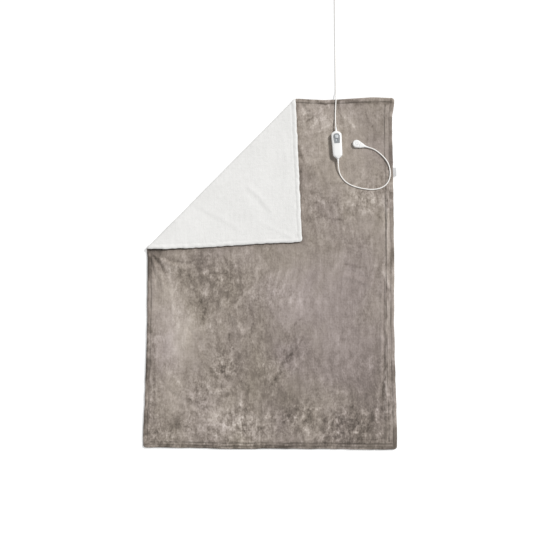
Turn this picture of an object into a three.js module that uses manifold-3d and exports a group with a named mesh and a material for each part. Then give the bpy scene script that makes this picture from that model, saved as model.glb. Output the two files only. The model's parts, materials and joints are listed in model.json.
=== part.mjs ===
// An electric heated throw: plush on top, fleece underneath, its upper left corner folded over,
// with a slide-switch hand control that lies on it and unplugs from a socket sewn into the plush.
// Millimetres, +Z up, +Y towards the head end. The origin is under the middle of the throw.
import * as THREE from 'three';
import { mergeVertices } from 'three/addons/utils/BufferGeometryUtils.js';
import Module from 'manifold-3d';

const wasm = await Module();
wasm.setup();

// ---- driving dimensions -------------------------------------------------------------------
const GAP = 0.3; // between pieces that touch

// The throw, laid out flat
const THROW_WIDTH = 1265;
const THROW_LENGTH = 1800;
const THROW_CORNER = 28;
const FLEECE_THICK = 4.5;
const CARRIER_THICK = 0.8;
const WIRE_DIAMETER = 2;
const PLUSH_THICK = 3;
const CARRIER_INSET = 12;

// The fold: how far from the upper left corner it crosses the head edge and the side edge
const FOLD_HEAD_LEG = 776;
const FOLD_SIDE_LEG = 808;
const FOLD_STEPS = 10;

// The heating wire: an out-and-back pair laid in rows
const ROW_PITCH = 170;
const WIRE_PAIR = 85;
const BODY_ROWS = 9;
const FIRST_ROW_Y = 600;
const FIRST_ROW_X = 400;
const SOCKET_ENDS = [ // how the heating wire leaves its first terminal and reaches its second
  [[414, 642]],
  [[428, 562], [440, 585], [441, 622]],
];
const WIRE_MARGIN = 40;
const CORNER_PITCH = 130;
const CORNER_PAIR = 65;
const CORNER_FIRST_ROW = 90;
const FEED_ALONG_FOLD = 150;
const TURN_STEPS = 6;
const WIRE_SIDES = 3; // segments per half turn: six sides

// The care label in the right-hand hem
const LABEL_Y = 507;
const LABEL_LENGTH = 46;
const LABEL_PROUD = 18;
const LABEL_THICK = 0.6;

// The hand control, which lies on the throw
const CONTROL_CENTRE = [343, 645];
const CONTROL_TURN = 3.2;
const CONTROL_LENGTH = 146;
const CONTROL_WIDTH = 56;
const CONTROL_WAIST = 52;
const CONTROL_WALL = 2.2;
const BASE_HEIGHT = 12;
const COVER_HEIGHT = 12;
const CONTROL_END_WIDTH = 18;
const WINDOW_TOP_Y = 61;
const WINDOW_BOTTOM_Y = 9;
const KNOB_CENTRE_Y = 42;
const KNOB_TRAVEL = 18;
const BOARD_THICK = 1.6;
const BOARD_Z = 6.6;
const SWITCH_TOP = 16;
const BOSS_HEIGHT = 5.5;
const SCREW_LENGTH = 14;
const SCREW_PLACES = [[-21, 38], [21, 38], [-20, -46], [20, -46]];

// The socket and its plug
const SOCKET_CENTRE = [445, 653];
const SOCKET_TURN = -17;
const SOCKET_RADIUS = 20.5;
const SOCKET_MOUTH = 17;
const SOCKET_HEIGHT = 14;
const TONGUE_WIDTH = 22;
const TONGUE_HEIGHT = 6;
const TONGUE_REACH = 24;
const CONTACT_SPACING = 10;
const BUTTON_DIAMETER = 15;
const PLUG_GRIP_END = 45;
const PLUG_BOOT = 24;

// Cords
const CORD_DIAMETER = 6;
const CORD_STEP = 15;
const BOOT_RADIUS = 6;
const BOOT_TIP = 3.4;
const MAINS_BOOT = 30;
const BODY_BOOT = 34;
const COIL_CENTRE = [383, 1512];
const COIL_TURN_RADII = [24, 42]; // centre lines of the inmost and outmost turns
const COIL_LAYERS = 2;
const TIE_THICK = 1.2;
const TIE_WIDTH = 12;
const TIE_CLEAR = 1.2;

// The mains plug, a flat two-pin one
const PLUG_BODY = [35.3, 36, 13.7];
const PIN_SPACING = 18.6;
const PIN_DIAMETER = 4;
const PIN_LENGTH = 19;
const MAINS_PLUG_BOOT = 20;
const MAINS_PLUG_PLACE = [471.3, 1548.5, 0];

// ---- levels and lines worked out from them -------------------------------------------------
const CARRIER_Z = FLEECE_THICK + GAP;
const WIRE_Z = CARRIER_Z + CARRIER_THICK + GAP + WIRE_DIAMETER / 2;
const PLUSH_Z = WIRE_Z + WIRE_DIAMETER / 2 + GAP;
const TOP_Z = PLUSH_Z + PLUSH_THICK;
const FOLD_Z = TOP_Z + GAP / 2;
const LYING_Z = TOP_Z + GAP;
const HALF_WIDTH = THROW_WIDTH / 2;
const HALF_LENGTH = THROW_LENGTH / 2;
const FOLD_HEAD = new THREE.Vector2(-HALF_WIDTH + FOLD_HEAD_LEG, HALF_LENGTH);
const FOLD_SIDE = new THREE.Vector2(-HALF_WIDTH, HALF_LENGTH - FOLD_SIDE_LEG);
const FOLD_LENGTH = FOLD_HEAD.distanceTo(FOLD_SIDE);
const FOLD_ALONG = FOLD_SIDE.clone().sub(FOLD_HEAD).normalize();
const FOLD_OUT = new THREE.Vector2(FOLD_ALONG.y, -FOLD_ALONG.x);
const FOLD_RADIUS = FOLD_Z - CARRIER_Z - CARRIER_THICK / 2;
const FOLD_USES = Math.PI * FOLD_RADIUS; // the width of throw that the bend takes up

const CONTROL_SPLIT_Z = BASE_HEIGHT + GAP / 2;
const SOCKET_TOP = TOP_Z + SOCKET_HEIGHT;
const TONGUE_Z = TOP_Z + 2.3;
const TONGUE_MIDDLE_Z = TONGUE_Z + TONGUE_HEIGHT / 2;
const PLUG_SPLIT_Z = TONGUE_MIDDLE_Z;
const PLUG_BOTTOM_Z = LYING_Z + GAP;
const PLUG_TOP_Z = PLUG_BOTTOM_Z + 10;
const BUTTON_Z = SOCKET_TOP - 1.4;
const BUTTON_FLOOR_Z = SOCKET_TOP - 4;
const COIL_LOW = TIE_THICK + GAP;
const COIL_HIGH = COIL_LOW + COIL_LAYERS * CORD_DIAMETER + 2 * GAP;

// ---- shapes ----------------------------------------------------------------------------------
// A closed outline through corners [x, y, rounding], anticlockwise.
function outline(corners) {
  const shape = new THREE.Shape();
  corners.forEach(([x, y, rounding], i) => {
    const corner = new THREE.Vector2(x, y);
    const before = new THREE.Vector2(...corners.at(i - 1)).sub(corner).setLength(rounding);
    const after = new THREE.Vector2(...corners[(i + 1) % corners.length]).sub(corner).setLength(rounding);
    const start = rounding ? before.add(corner) : corner;
    if (i === 0) shape.moveTo(start.x, start.y);
    else shape.lineTo(start.x, start.y);
    if (rounding) shape.quadraticCurveTo(x, y, x + after.x, y + after.y);
  });
  return shape;
}

function rectangle(width, length, x = 0, y = 0, rounding = 0) {
  const [w, l] = [width / 2, length / 2];
  return outline([
    [x - w, y - l, rounding], [x + w, y - l, rounding], [x + w, y + l, rounding], [x - w, y + l, rounding],
  ]);
}

function circle(radius, x = 0, y = 0) {
  return new THREE.Shape().absarc(x, y, radius, 0, 2 * Math.PI, false);
}

// A flat slab of an outline, standing on z, with its edges rounded off by edge.
function slab(shape, z, height, { edge = 0, segments = 4 } = {}) {
  const geometry = new THREE.ExtrudeGeometry(shape, {
    depth: height - 2 * edge,
    curveSegments: segments,
    bevelEnabled: edge > 0,
    bevelThickness: edge,
    bevelSize: edge,
    bevelOffset: -edge,
    bevelSegments: 2,
  });
  return geometry.translate(0, 0, z + edge);
}

function box(width, length, height, x, y, z) {
  return new THREE.BoxGeometry(width, length, height).translate(x, y, z + height / 2);
}

function rod(radius, height, x, y, z, sides = 12) {
  return new THREE.CylinderGeometry(radius, radius, height, sides)
    .rotateX(Math.PI / 2).translate(x, y, z + height / 2);
}

// A cone or cylinder that lies along +X or +Y.
function lyingRod(startRadius, endRadius, length, along, start, z, across = 0, sides = 12) {
  const geometry = new THREE.CylinderGeometry(endRadius, startRadius, length, sides);
  if (along === 'x') return geometry.rotateZ(-Math.PI / 2).translate(start + length / 2, across, z);
  return geometry.translate(across, start + length / 2, z);
}

// A path that keeps its stations as they are given, so that long straight runs stay single.
class StationPath extends THREE.Curve {
  constructor(stations) {
    super();
    this.stations = stations;
  }

  getPoint(t, target = new THREE.Vector3()) {
    const place = t * (this.stations.length - 1);
    const from = Math.min(Math.floor(place + 1e-6), this.stations.length - 2);
    return target.lerpVectors(this.stations[from], this.stations[from + 1], place - from);
  }

  getPointAt(u, target) {
    return this.getPoint(u, target);
  }

  getTangentAt(u, target = new THREE.Vector3()) {
    const last = this.stations.length - 1;
    const i = Math.round(u * last);
    const here = this.stations[i];
    const arriving = here.clone().sub(this.stations[Math.max(i - 1, 0)]).normalize();
    const leaving = this.stations[Math.min(i + 1, last)].clone().sub(here).normalize();
    return target.copy(arriving.add(leaving).normalize());
  }
}

function wireTube(points, z = WIRE_Z) {
  const path = new StationPath(points.map((p) => new THREE.Vector3(p.x, p.y, p.z ?? z)));
  return new THREE.ExtrudeGeometry(circle(WIRE_DIAMETER / 2), {
    steps: points.length - 1, curveSegments: WIRE_SIDES, bevelEnabled: false, extrudePath: path,
  });
}

function cordTube(points) {
  const path = new THREE.CatmullRomCurve3(points.map((p) => new THREE.Vector3(...p)), false, 'centripetal');
  return new THREE.ExtrudeGeometry(circle(CORD_DIAMETER / 2), {
    steps: Math.ceil(path.getLength() / CORD_STEP), curveSegments: 4, bevelEnabled: false, extrudePath: path,
  });
}

// ---- joins and cuts -----------------------------------------------------------------------------
function solid(geometry) {
  const bare = geometry.index ? geometry.toNonIndexed() : geometry.clone();
  bare.deleteAttribute('normal');
  bare.deleteAttribute('uv');
  const merged = mergeVertices(bare, 1e-4);
  return new wasm.Manifold(new wasm.Mesh({
    numProp: 3,
    vertProperties: new Float32Array(merged.attributes.position.array),
    triVerts: new Uint32Array(merged.index.array),
  }));
}

function shaped(body, { join = [], cut = [] }) {
  let result = solid(body);
  for (const geometry of join) result = result.add(solid(geometry));
  for (const geometry of cut) result = result.subtract(solid(geometry));
  const mesh = result.getMesh();
  const geometry = new THREE.BufferGeometry();
  geometry.setAttribute('position', new THREE.BufferAttribute(mesh.vertProperties, 3));
  geometry.setIndex(new THREE.BufferAttribute(mesh.triVerts, 1));
  return geometry;
}

// ---- materials -------------------------------------------------------------------------------------
const finish = (color, roughness, metalness = 0) => () =>
  new THREE.MeshStandardMaterial({ color, roughness, metalness });

const plush = finish(0x9e948c, 0.9);
const fleece = finish(0xebebe8, 0.95);
const nonwoven = finish(0xf2f0ea, 0.9);
const wireSheath = finish(0xd9d2c4, 0.6);
const labelCloth = finish(0xdedede, 0.8);
const whitePlastic = finish(0xf5f3f0, 0.35);
const greyPlastic = finish(0x969b9e, 0.4);
const knobPlastic = finish(0xc8ccd0, 0.35);
const cordSheath = finish(0xf4efe9, 0.5);
const board = finish(0x2f6b45, 0.6);
const darkPart = finish(0x2b2d30, 0.5);
const glass = finish(0xd8e0e0, 0.1);
const metal = finish(0xc9c6be, 0.3, 1);
const brass = finish(0xc9a85c, 0.35, 1);

function part(parent, name, geometry, material) {
  const mesh = new THREE.Mesh(geometry, material());
  mesh.name = name;
  parent.add(mesh);
  return mesh;
}

// ---- the throw --------------------------------------------------------------------------------------
// A place given along the fold from the head edge, and outwards from the line where the bend starts.
function byFold(along, out) {
  return FOLD_HEAD.clone().addScaledVector(FOLD_ALONG, along).addScaledVector(FOLD_OUT, out);
}

function bodyOutline(inset = 0) {
  const [w, l] = [HALF_WIDTH - inset, HALF_LENGTH - inset];
  return outline([
    [-w, -l, THROW_CORNER], [w, -l, THROW_CORNER], [w, l, THROW_CORNER],
    [FOLD_HEAD.x, l, 0], [-w, FOLD_SIDE.y, 0],
  ]);
}

// The corner as it lies when it is unfolded, beyond the strip that the bend uses.
function cornerOutline(inset = 0) {
  const [w, l] = [HALF_WIDTH - inset, HALF_LENGTH - inset];
  const slope = FOLD_SIDE_LEG / FOLD_HEAD_LEG;
  const head = FOLD_HEAD.x - FOLD_USES / Math.abs(FOLD_OUT.x) - inset / slope;
  const side = FOLD_SIDE.y + FOLD_USES / FOLD_OUT.y + inset * slope;
  return outline([[-w, side, 0], [head, l, 0], [-w, l, THROW_CORNER]]);
}

// A half ring along the fold that joins a layer of the throw to the same layer of the corner.
function foldStrip(innerRadius, thick, inset) {
  const shape = new THREE.Shape();
  shape.absarc(0, 0, innerRadius + thick, -Math.PI / 2, Math.PI / 2, false);
  shape.absarc(0, 0, innerRadius, Math.PI / 2, -Math.PI / 2, true);
  const length = FOLD_LENGTH - FOLD_USES - 2 * inset;
  const geometry = new THREE.ExtrudeGeometry(shape, {
    depth: length, curveSegments: FOLD_STEPS, bevelEnabled: false,
  });
  const start = byFold(FOLD_USES / 2 + inset, GAP);
  const frame = new THREE.Matrix4().makeBasis(
    new THREE.Vector3(FOLD_OUT.x, FOLD_OUT.y, 0),
    new THREE.Vector3(0, 0, -1),
    new THREE.Vector3(FOLD_ALONG.x, FOLD_ALONG.y, 0),
  );
  return geometry.applyMatrix4(frame.setPosition(start.x, start.y, FOLD_Z));
}

function wireFold(along) {
  const points = [];
  for (let i = 0; i <= FOLD_STEPS; i += 1) {
    const angle = (Math.PI * i) / FOLD_STEPS;
    const radius = FOLD_Z - WIRE_Z;
    const place = byFold(along, GAP + radius * Math.sin(angle));
    points.push(new THREE.Vector3(place.x, place.y, FOLD_Z - radius * Math.cos(angle)));
  }
  return wireTube(points);
}

// One wire of the pair: rows [y, from x, to x] that step down by pitch, joined by U-turns.
function pairSide(rows, pitch, pair, side) {
  const points = [];
  rows.forEach(([y, from, to], k) => {
    const heading = Math.sign(to - from);
    const offset = (side * heading * pair) / 2;
    if (k === 0) points.push(new THREE.Vector2(from, y + offset));
    const last = k === rows.length - 1;
    const radius = last ? Math.abs(offset) : pitch / 2 + offset;
    const centre = last ? y : y - pitch / 2;
    const sweep = last ? Math.PI / 2 : Math.PI;
    const over = last ? Math.sign(offset) : 1;
    for (let i = 0; i <= TURN_STEPS; i += 1) {
      const angle = (sweep * i) / TURN_STEPS;
      points.push(new THREE.Vector2(
        to + heading * radius * Math.sin(angle),
        centre + over * radius * Math.cos(angle),
      ));
    }
  });
  return points;
}

function outAndBack(rows, pitch, pair) {
  const out = pairSide(rows, pitch, pair, 1);
  const back = pairSide(rows, pitch, pair, -1).reverse();
  return [...out, ...back.slice(1)];
}

function foldX(y) {
  return FOLD_HEAD.x + ((y - HALF_LENGTH) * FOLD_HEAD_LEG) / FOLD_SIDE_LEG;
}

function bodyWire() {
  const outerTurn = (ROW_PITCH + WIRE_PAIR) / 2;
  const rightEnd = HALF_WIDTH - WIRE_MARGIN - outerTurn;
  const rows = [];
  let from = FIRST_ROW_X;
  for (let k = 0; k < BODY_ROWS; k += 1) {
    const y = FIRST_ROW_Y - k * ROW_PITCH;
    const side = Math.max(-HALF_WIDTH + WIRE_MARGIN, foldX(y - ROW_PITCH / 2) + 1.5 * WIRE_MARGIN);
    const leftEnd = side + outerTurn;
    const to = k % 2 === 0 ? leftEnd : rightEnd;
    rows.push([y, from, to]);
    from = to;
  }
  const [first, second] = SOCKET_ENDS.map((ends) => ends.map(([x, y]) => new THREE.Vector2(x, y)));
  return wireTube([...first, ...outAndBack(rows, ROW_PITCH, WIRE_PAIR), ...second]);
}

// The corner's wire, unfolded: it comes over the fold, turns along it and goes back and forth.
function cornerWire() {
  const turn = (CORNER_PITCH + CORNER_PAIR) / 2;
  const headSide = (out) => (out * FOLD_OUT.y) / -FOLD_OUT.x + WIRE_MARGIN + turn;
  const farSide = (out) => FOLD_LENGTH - (out * -FOLD_OUT.x) / FOLD_OUT.y - WIRE_MARGIN - turn;
  const first = CORNER_FIRST_ROW;
  const second = first + CORNER_PITCH;
  const third = second + CORNER_PITCH;
  const bend = CORNER_FIRST_ROW / 2;
  const start = FEED_ALONG_FOLD + bend;
  const rows = [
    [-first, start, farSide(second)],
    [-second, farSide(second), headSide(third)],
    [-third, headSide(third), farSide(third)],
  ];
  const leadIn = (side) => {
    const points = [new THREE.Vector2(FEED_ALONG_FOLD - side * CORNER_PAIR / 2, -FOLD_USES - GAP)];
    const radius = bend + side * CORNER_PAIR / 2;
    for (let i = 0; i < TURN_STEPS; i += 1) {
      const angle = (Math.PI / 2) * (i / TURN_STEPS);
      points.push(new THREE.Vector2(start - radius * Math.cos(angle), -bend - radius * Math.sin(angle)));
    }
    return points;
  };
  const local = [
    ...leadIn(-1),
    ...outAndBack(rows, CORNER_PITCH, CORNER_PAIR),
    ...leadIn(1).reverse(),
  ];
  return wireTube(local.map((p) => byFold(p.x, -p.y)));
}

// The corner's two feed wires: how far past the fold each turns, and its way from there to the socket.
const FEED_ROUTES = [
  [150, [[240, 692], [340, 680], [414, 672]]],
  [120, [[200, 664], [300, 660], [414, 659]]],
];

// A wire that runs from the fold to the socket, in the body of the throw.
function feedWire(along, turnBack, waypoints) {
  const points = [byFold(along, -GAP), byFold(along, -turnBack)];
  return wireTube([...points, ...waypoints.map(([x, y]) => new THREE.Vector2(x, y))]);
}

// A folded tape sewn into the right-hand hem, of which one end stands proud.
function careLabel() {
  const width = LABEL_PROUD + CARRIER_INSET - 2; // from just outside the heater carrier
  const x = HALF_WIDTH + LABEL_PROUD - width / 2;
  return box(width, LABEL_LENGTH, LABEL_THICK, x, LABEL_Y, FLEECE_THICK + 1);
}

function makeThrow() {
  const group = new THREE.Group();
  const window = circle(SOCKET_RADIUS + 1, ...SOCKET_CENTRE);
  const topLayer = bodyOutline();
  topLayer.holes.push(window);
  part(group, 'fleece_backing', slab(bodyOutline(), 0, FLEECE_THICK), fleece);
  part(group, 'heater_carrier', slab(bodyOutline(CARRIER_INSET), CARRIER_Z, CARRIER_THICK), nonwoven);
  part(group, 'heating_wire', bodyWire(), wireSheath);
  part(group, 'plush_cover', slab(topLayer, PLUSH_Z, PLUSH_THICK, { segments: 12 }), plush);
  const feeds = [-CORNER_PAIR / 2, CORNER_PAIR / 2].map((offset) => FEED_ALONG_FOLD + offset);
  feeds.forEach((along, i) => {
    part(group, `corner_feed_wire_${i + 1}`, feedWire(along, ...FEED_ROUTES[i]), wireSheath);
    part(group, `corner_wire_bend_${i + 1}`, wireFold(along), wireSheath);
  });
  const radiusOf = (z, thick) => FOLD_Z - z - thick;
  part(group, 'fleece_fold', foldStrip(radiusOf(0, FLEECE_THICK), FLEECE_THICK, 0), fleece);
  part(group, 'heater_carrier_fold',
    foldStrip(radiusOf(CARRIER_Z, CARRIER_THICK), CARRIER_THICK, CARRIER_INSET), nonwoven);
  part(group, 'plush_fold', foldStrip(radiusOf(PLUSH_Z, PLUSH_THICK), PLUSH_THICK, 0), plush);
  part(group, 'overheat_cutout', box(14, 6, WIRE_DIAMETER, 466, 612, WIRE_Z - WIRE_DIAMETER / 2), darkPart);
  part(group, 'care_label', careLabel(), labelCloth);
  return group;
}

// The folded corner is modelled unfolded, then turned half a turn about the fold's axis.
function makeCorner() {
  const flat = new THREE.Group();
  part(flat, 'fleece_corner', slab(cornerOutline(), 0, FLEECE_THICK), fleece);
  part(flat, 'heater_carrier_corner',
    slab(cornerOutline(CARRIER_INSET), CARRIER_Z, CARRIER_THICK), nonwoven);
  part(flat, 'heating_wire_corner', cornerWire(), wireSheath);
  part(flat, 'plush_corner', slab(cornerOutline(), PLUSH_Z, PLUSH_THICK), plush);
  const axis = byFold(0, FOLD_USES / 2);
  flat.position.set(-axis.x, -axis.y, -FOLD_Z);
  const turned = new THREE.Group();
  turned.add(flat);
  turned.quaternion.setFromAxisAngle(new THREE.Vector3(FOLD_ALONG.x, FOLD_ALONG.y, 0), Math.PI);
  turned.position.set(axis.x, axis.y, FOLD_Z);
  return turned;
}


// ---- the hand control: its own frame has +Y towards the mains lead and z = 0 at its underside -------
function controlOutline(inset = 0) {
  const [w, waist, l] = [CONTROL_WIDTH / 2 - inset, CONTROL_WAIST / 2 - inset, CONTROL_LENGTH / 2 - inset];
  const end = CONTROL_END_WIDTH / 2;
  const half = [[end, -l, 3], [waist, 13 - l, 12], [w, l - 33, 0], [w - 1, l - 16, 14], [end, l, 3]];
  return outline([...half, ...half.toReversed().map(([x, y, rounding]) => [-x, y, rounding])]);
}

function windowOutline(grow = 0) {
  const [top, bottom] = [WINDOW_TOP_Y + grow, WINDOW_BOTTOM_Y - grow];
  const half = [[13 + grow, bottom, 2], [17 + grow, top - 17, 4], [12 + grow, top, 11]];
  return outline([...half, ...half.toReversed().map(([x, y, rounding]) => [-x, y, rounding])]);
}

// Round slots at both ends of the control, where its two strain reliefs pass the shells.
function leadSlots() {
  const [radius, length] = [BOOT_RADIUS + GAP, 24];
  return [-CONTROL_LENGTH / 2 - length / 2, CONTROL_LENGTH / 2 - length / 2]
    .map((start) => lyingRod(radius, radius, length, 'y', start, CONTROL_SPLIT_Z));
}

function controlBase() {
  const body = slab(controlOutline(), 0, BASE_HEIGHT + 6, { edge: 3, segments: 3 });
  const cavity = slab(controlOutline(CONTROL_WALL), CONTROL_WALL, BASE_HEIGHT, { segments: 3 });
  const hollow = shaped(body, {
    cut: [cavity, box(80, 200, 20, 0, 0, BASE_HEIGHT), ...leadSlots()],
  });
  return shaped(hollow, {
    join: [
      ...SCREW_PLACES.map(([x, y]) => rod(4.6, BOSS_HEIGHT - 1, x, y, 1)),
      ...[-40, 40].map((y) => rod(2.5, BOARD_Z - GAP - 1, 0, y, 1)),
    ],
    cut: SCREW_PLACES.flatMap(([x, y]) => [rod(3.4, 4, x, y, -1), rod(1.8, 20, x, y, -1)]),
  });
}

function controlCover() {
  const top = BASE_HEIGHT + GAP + COVER_HEIGHT;
  const ceiling = top - CONTROL_WALL;
  const body = slab(controlOutline(), 0, top, { edge: 4, segments: 3 });
  const cavity = slab(controlOutline(CONTROL_WALL), 0, ceiling, { segments: 3 });
  const hollow = shaped(body, {
    cut: [cavity, box(80, 200, BASE_HEIGHT + GAP, 0, 0, 0), ...leadSlots()],
  });
  const bossFoot = BOSS_HEIGHT + GAP;
  return shaped(hollow, {
    join: SCREW_PLACES.map(([x, y]) => rod(3.6, ceiling + 1 - bossFoot, x, y, bossFoot)),
    cut: [
      slab(windowOutline(GAP), ceiling - 4, 20),
      ...SCREW_PLACES.map(([x, y]) => rod(1.8, SCREW_LENGTH, x, y, BOSS_HEIGHT - 1)),
    ],
  });
}

function windowBezel() {
  const ceiling = BASE_HEIGHT + COVER_HEIGHT + GAP - CONTROL_WALL;
  const slot = box(8, KNOB_TRAVEL + 10, 20, 0, KNOB_CENTRE_Y - KNOB_TRAVEL / 2, ceiling - 10);
  return shaped(slab(windowOutline(), ceiling - 1, 2.2), { cut: [slot] });
}

function switchKnob() {
  const top = BASE_HEIGHT + COVER_HEIGHT + GAP;
  const cap = slab(rectangle(17, 19, 0, KNOB_CENTRE_Y, 6), top - 0.7, 3.4, { edge: 1 });
  return shaped(cap, { join: [box(6, 8, top - SWITCH_TOP - GAP, 0, KNOB_CENTRE_Y, SWITCH_TOP + GAP)] });
}

function screw(x, y) {
  const profile = [[0, 0.6], [3, 0.6], [3, 2.6], [1.5, 2.6], [1.5, SCREW_LENGTH], [0, SCREW_LENGTH]];
  return new THREE.LatheGeometry(profile.map((p) => new THREE.Vector2(...p)), 12)
    .rotateX(Math.PI / 2).translate(x, y, 0);
}

function makeControl() {
  const group = new THREE.Group();
  const [onBoard, endY] = [BOARD_Z + BOARD_THICK + GAP, CONTROL_LENGTH / 2];
  part(group, 'control_base', controlBase(), whitePlastic);
  part(group, 'control_cover', controlCover(), whitePlastic);
  part(group, 'switch_window', windowBezel(), greyPlastic);
  part(group, 'switch_knob', switchKnob(), knobPlastic);
  part(group, 'circuit_board', box(30, 100, BOARD_THICK, 0, 0, BOARD_Z), board);
  part(group, 'slide_switch', box(12, 36, SWITCH_TOP - onBoard, 0, 33, onBoard), darkPart);
  part(group, 'indicator_led', rod(1.5, 8, 10, 14, onBoard), glass);
  part(group, 'fuse', lyingRod(2.6, 2.6, 20, 'y', -20, onBoard + 2.6, -9, 10), glass);
  part(group, 'capacitor', box(8, 18, 11, 8, -12, onBoard), darkPart);
  part(group, 'triac', box(10, 4.6, 12, 0, -29, onBoard), darkPart);
  part(group, 'body_lead_terminal', box(16, 8, 7, 0, -44, onBoard), brass);
  part(group, 'mains_lead_terminal', box(7, 8, 7, 10.5, 44, onBoard), brass);
  SCREW_PLACES.forEach(([x, y], i) => part(group, `control_screw_${i + 1}`, screw(x, y), metal));
  const inside = endY - 7;
  part(group, 'mains_strain_relief',
    lyingRod(BOOT_RADIUS, BOOT_TIP, MAINS_BOOT, 'y', inside, CONTROL_SPLIT_Z), whitePlastic);
  part(group, 'body_strain_relief',
    lyingRod(BOOT_TIP, BOOT_RADIUS, BODY_BOOT, 'y', -inside - BODY_BOOT, CONTROL_SPLIT_Z), whitePlastic);
  group.rotation.z = THREE.MathUtils.degToRad(CONTROL_TURN);
  group.position.set(...CONTROL_CENTRE, LYING_Z);
  return group;
}

// ---- the socket and the plug: their own frame has +X along the plug, out of the socket -------------
function socketOutline(radius) {
  const angle = Math.acos(SOCKET_MOUTH / radius);
  return new THREE.Shape().absarc(0, 0, radius, angle, 2 * Math.PI - angle, false);
}

function socketHousing() {
  const edge = 3;
  const body = slab(socketOutline(SOCKET_RADIUS), PLUSH_Z - 2 * edge, SOCKET_TOP - PLUSH_Z + 2 * edge, {
    edge, segments: 12,
  });
  const cavityEnd = SOCKET_MOUTH - TONGUE_REACH - 4;
  const cavity = box(TONGUE_WIDTH + 2 * GAP, 40, TONGUE_HEIGHT + 2 * GAP, 0, 0, TONGUE_Z - GAP)
    .rotateZ(Math.PI / 2).translate(cavityEnd + 20, 0, 0);
  return shaped(body, {
    cut: [
      box(80, 80, 20, 0, 0, PLUSH_Z - 20),
      cavity,
      rod(BUTTON_DIAMETER / 2 + GAP, 10, 0, 0, BUTTON_FLOOR_Z, 24),
    ],
  });
}

function releaseSpring() {
  const [low, high] = [BUTTON_FLOOR_Z + GAP, BUTTON_Z - GAP];
  const profile = [[4, low], [5, low], [5, high], [4, high], [4, low]];
  return new THREE.LatheGeometry(profile.map((p) => new THREE.Vector2(...p)), 12).rotateX(Math.PI / 2);
}

function makeSocket() {
  const group = new THREE.Group();
  const flange = slab(circle(SOCKET_RADIUS + 6), CARRIER_Z + CARRIER_THICK + GAP, 2, { segments: 12 });
  part(group, 'socket_flange', flange, whitePlastic);
  part(group, 'socket_housing', socketHousing(), whitePlastic);
  part(group, 'release_button',
    slab(circle(BUTTON_DIAMETER / 2), BUTTON_Z, 2.6, { edge: 0.6, segments: 12 }), whitePlastic);
  part(group, 'release_spring', releaseSpring(), metal);
  const start = SOCKET_MOUTH - TONGUE_REACH - 4 + GAP;
  [-1, 1].forEach((side, i) => part(group, `socket_pin_${i + 1}`,
    lyingRod(1.2, 1.2, 16, 'x', start, TONGUE_MIDDLE_Z, (side * CONTACT_SPACING) / 2, 8), brass));
  return placeAtSocket(group);
}

function gripOutline() {
  const start = SOCKET_MOUTH + GAP;
  const half = [[start, -13, 3], [28, -12, 6], [PLUG_GRIP_END, -5, 3]];
  return outline([...half, ...half.toReversed().map(([x, y, rounding]) => [x, -y, rounding])]);
}

// One half of the plug's shell: half of the tongue, half of the grip, and half of the contacts' ways.
function plugShell(upper) {
  const [low, high] = upper
    ? [PLUG_SPLIT_Z + GAP / 2, PLUG_TOP_Z]
    : [PLUG_BOTTOM_Z, PLUG_SPLIT_Z - GAP / 2];
  const [tongueLow, tongueHigh] = upper ? [low, TONGUE_Z + TONGUE_HEIGHT] : [TONGUE_Z, high];
  const edge = 1.8;
  const grip = slab(gripOutline(), PLUG_BOTTOM_Z, PLUG_TOP_Z - PLUG_BOTTOM_Z, { edge, segments: 3 });
  const tongue = box(TONGUE_REACH + 8, TONGUE_WIDTH, tongueHigh - tongueLow,
    SOCKET_MOUTH - TONGUE_REACH / 2 + 4, 0, tongueLow);
  const away = upper ? low - 20 : high;
  const ways = [-1, 1].map((side) =>
    lyingRod(1.8, 1.8, 40, 'x', -20, TONGUE_MIDDLE_Z, (side * CONTACT_SPACING) / 2, 8));
  return shaped(grip, { join: [tongue], cut: [box(200, 80, 20, 0, 0, away), ...ways] });
}

function makePlug() {
  const group = new THREE.Group();
  part(group, 'plug_upper_shell', plugShell(true), whitePlastic);
  part(group, 'plug_lower_shell', plugShell(false), whitePlastic);
  [-1, 1].forEach((side, i) => part(group, `plug_contact_${i + 1}`,
    lyingRod(1.4, 1.4, 12, 'x', 6, TONGUE_MIDDLE_Z, (side * CONTACT_SPACING) / 2, 8), brass));
  part(group, 'plug_strain_relief',
    lyingRod(4.6, BOOT_TIP, PLUG_BOOT, 'x', PLUG_GRIP_END + GAP, TONGUE_MIDDLE_Z), whitePlastic);
  return placeAtSocket(group);
}

function placeAtSocket(group) {
  group.rotation.z = THREE.MathUtils.degToRad(SOCKET_TURN);
  group.position.set(...SOCKET_CENTRE, 0);
  return group;
}

// ---- the cords ------------------------------------------------------------------------------------------
function coilRing() {
  const proud = CORD_DIAMETER / 2 + GAP;
  const [inner, outer] = [COIL_TURN_RADII[0] - proud, COIL_TURN_RADII[1] + proud];
  const profile = [
    [inner, COIL_LOW], [outer, COIL_LOW], [outer, COIL_HIGH], [inner, COIL_HIGH], [inner, COIL_LOW],
  ];
  return new THREE.LatheGeometry(profile.map((p) => new THREE.Vector2(...p)), 32)
    .rotateX(Math.PI / 2).translate(...COIL_CENTRE, 0);
}

// A strap round the turns, on the side of the coil away from the lead.
function cableTie() {
  const proud = CORD_DIAMETER / 2 + GAP + TIE_CLEAR;
  const middle = (COIL_TURN_RADII[0] + COIL_TURN_RADII[1]) / 2;
  const width = COIL_TURN_RADII[1] - COIL_TURN_RADII[0] + 2 * proud;
  const inner = box(width, 2 * TIE_WIDTH, COIL_HIGH - COIL_LOW + 2 * GAP, 0, 0, COIL_LOW - GAP);
  const outer = box(width + 2 * TIE_THICK, TIE_WIDTH, COIL_HIGH + GAP + TIE_THICK, 0, 0, 0);
  return shaped(outer, { cut: [inner] }).translate(COIL_CENTRE[0] + middle, COIL_CENTRE[1], 0);
}

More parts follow.
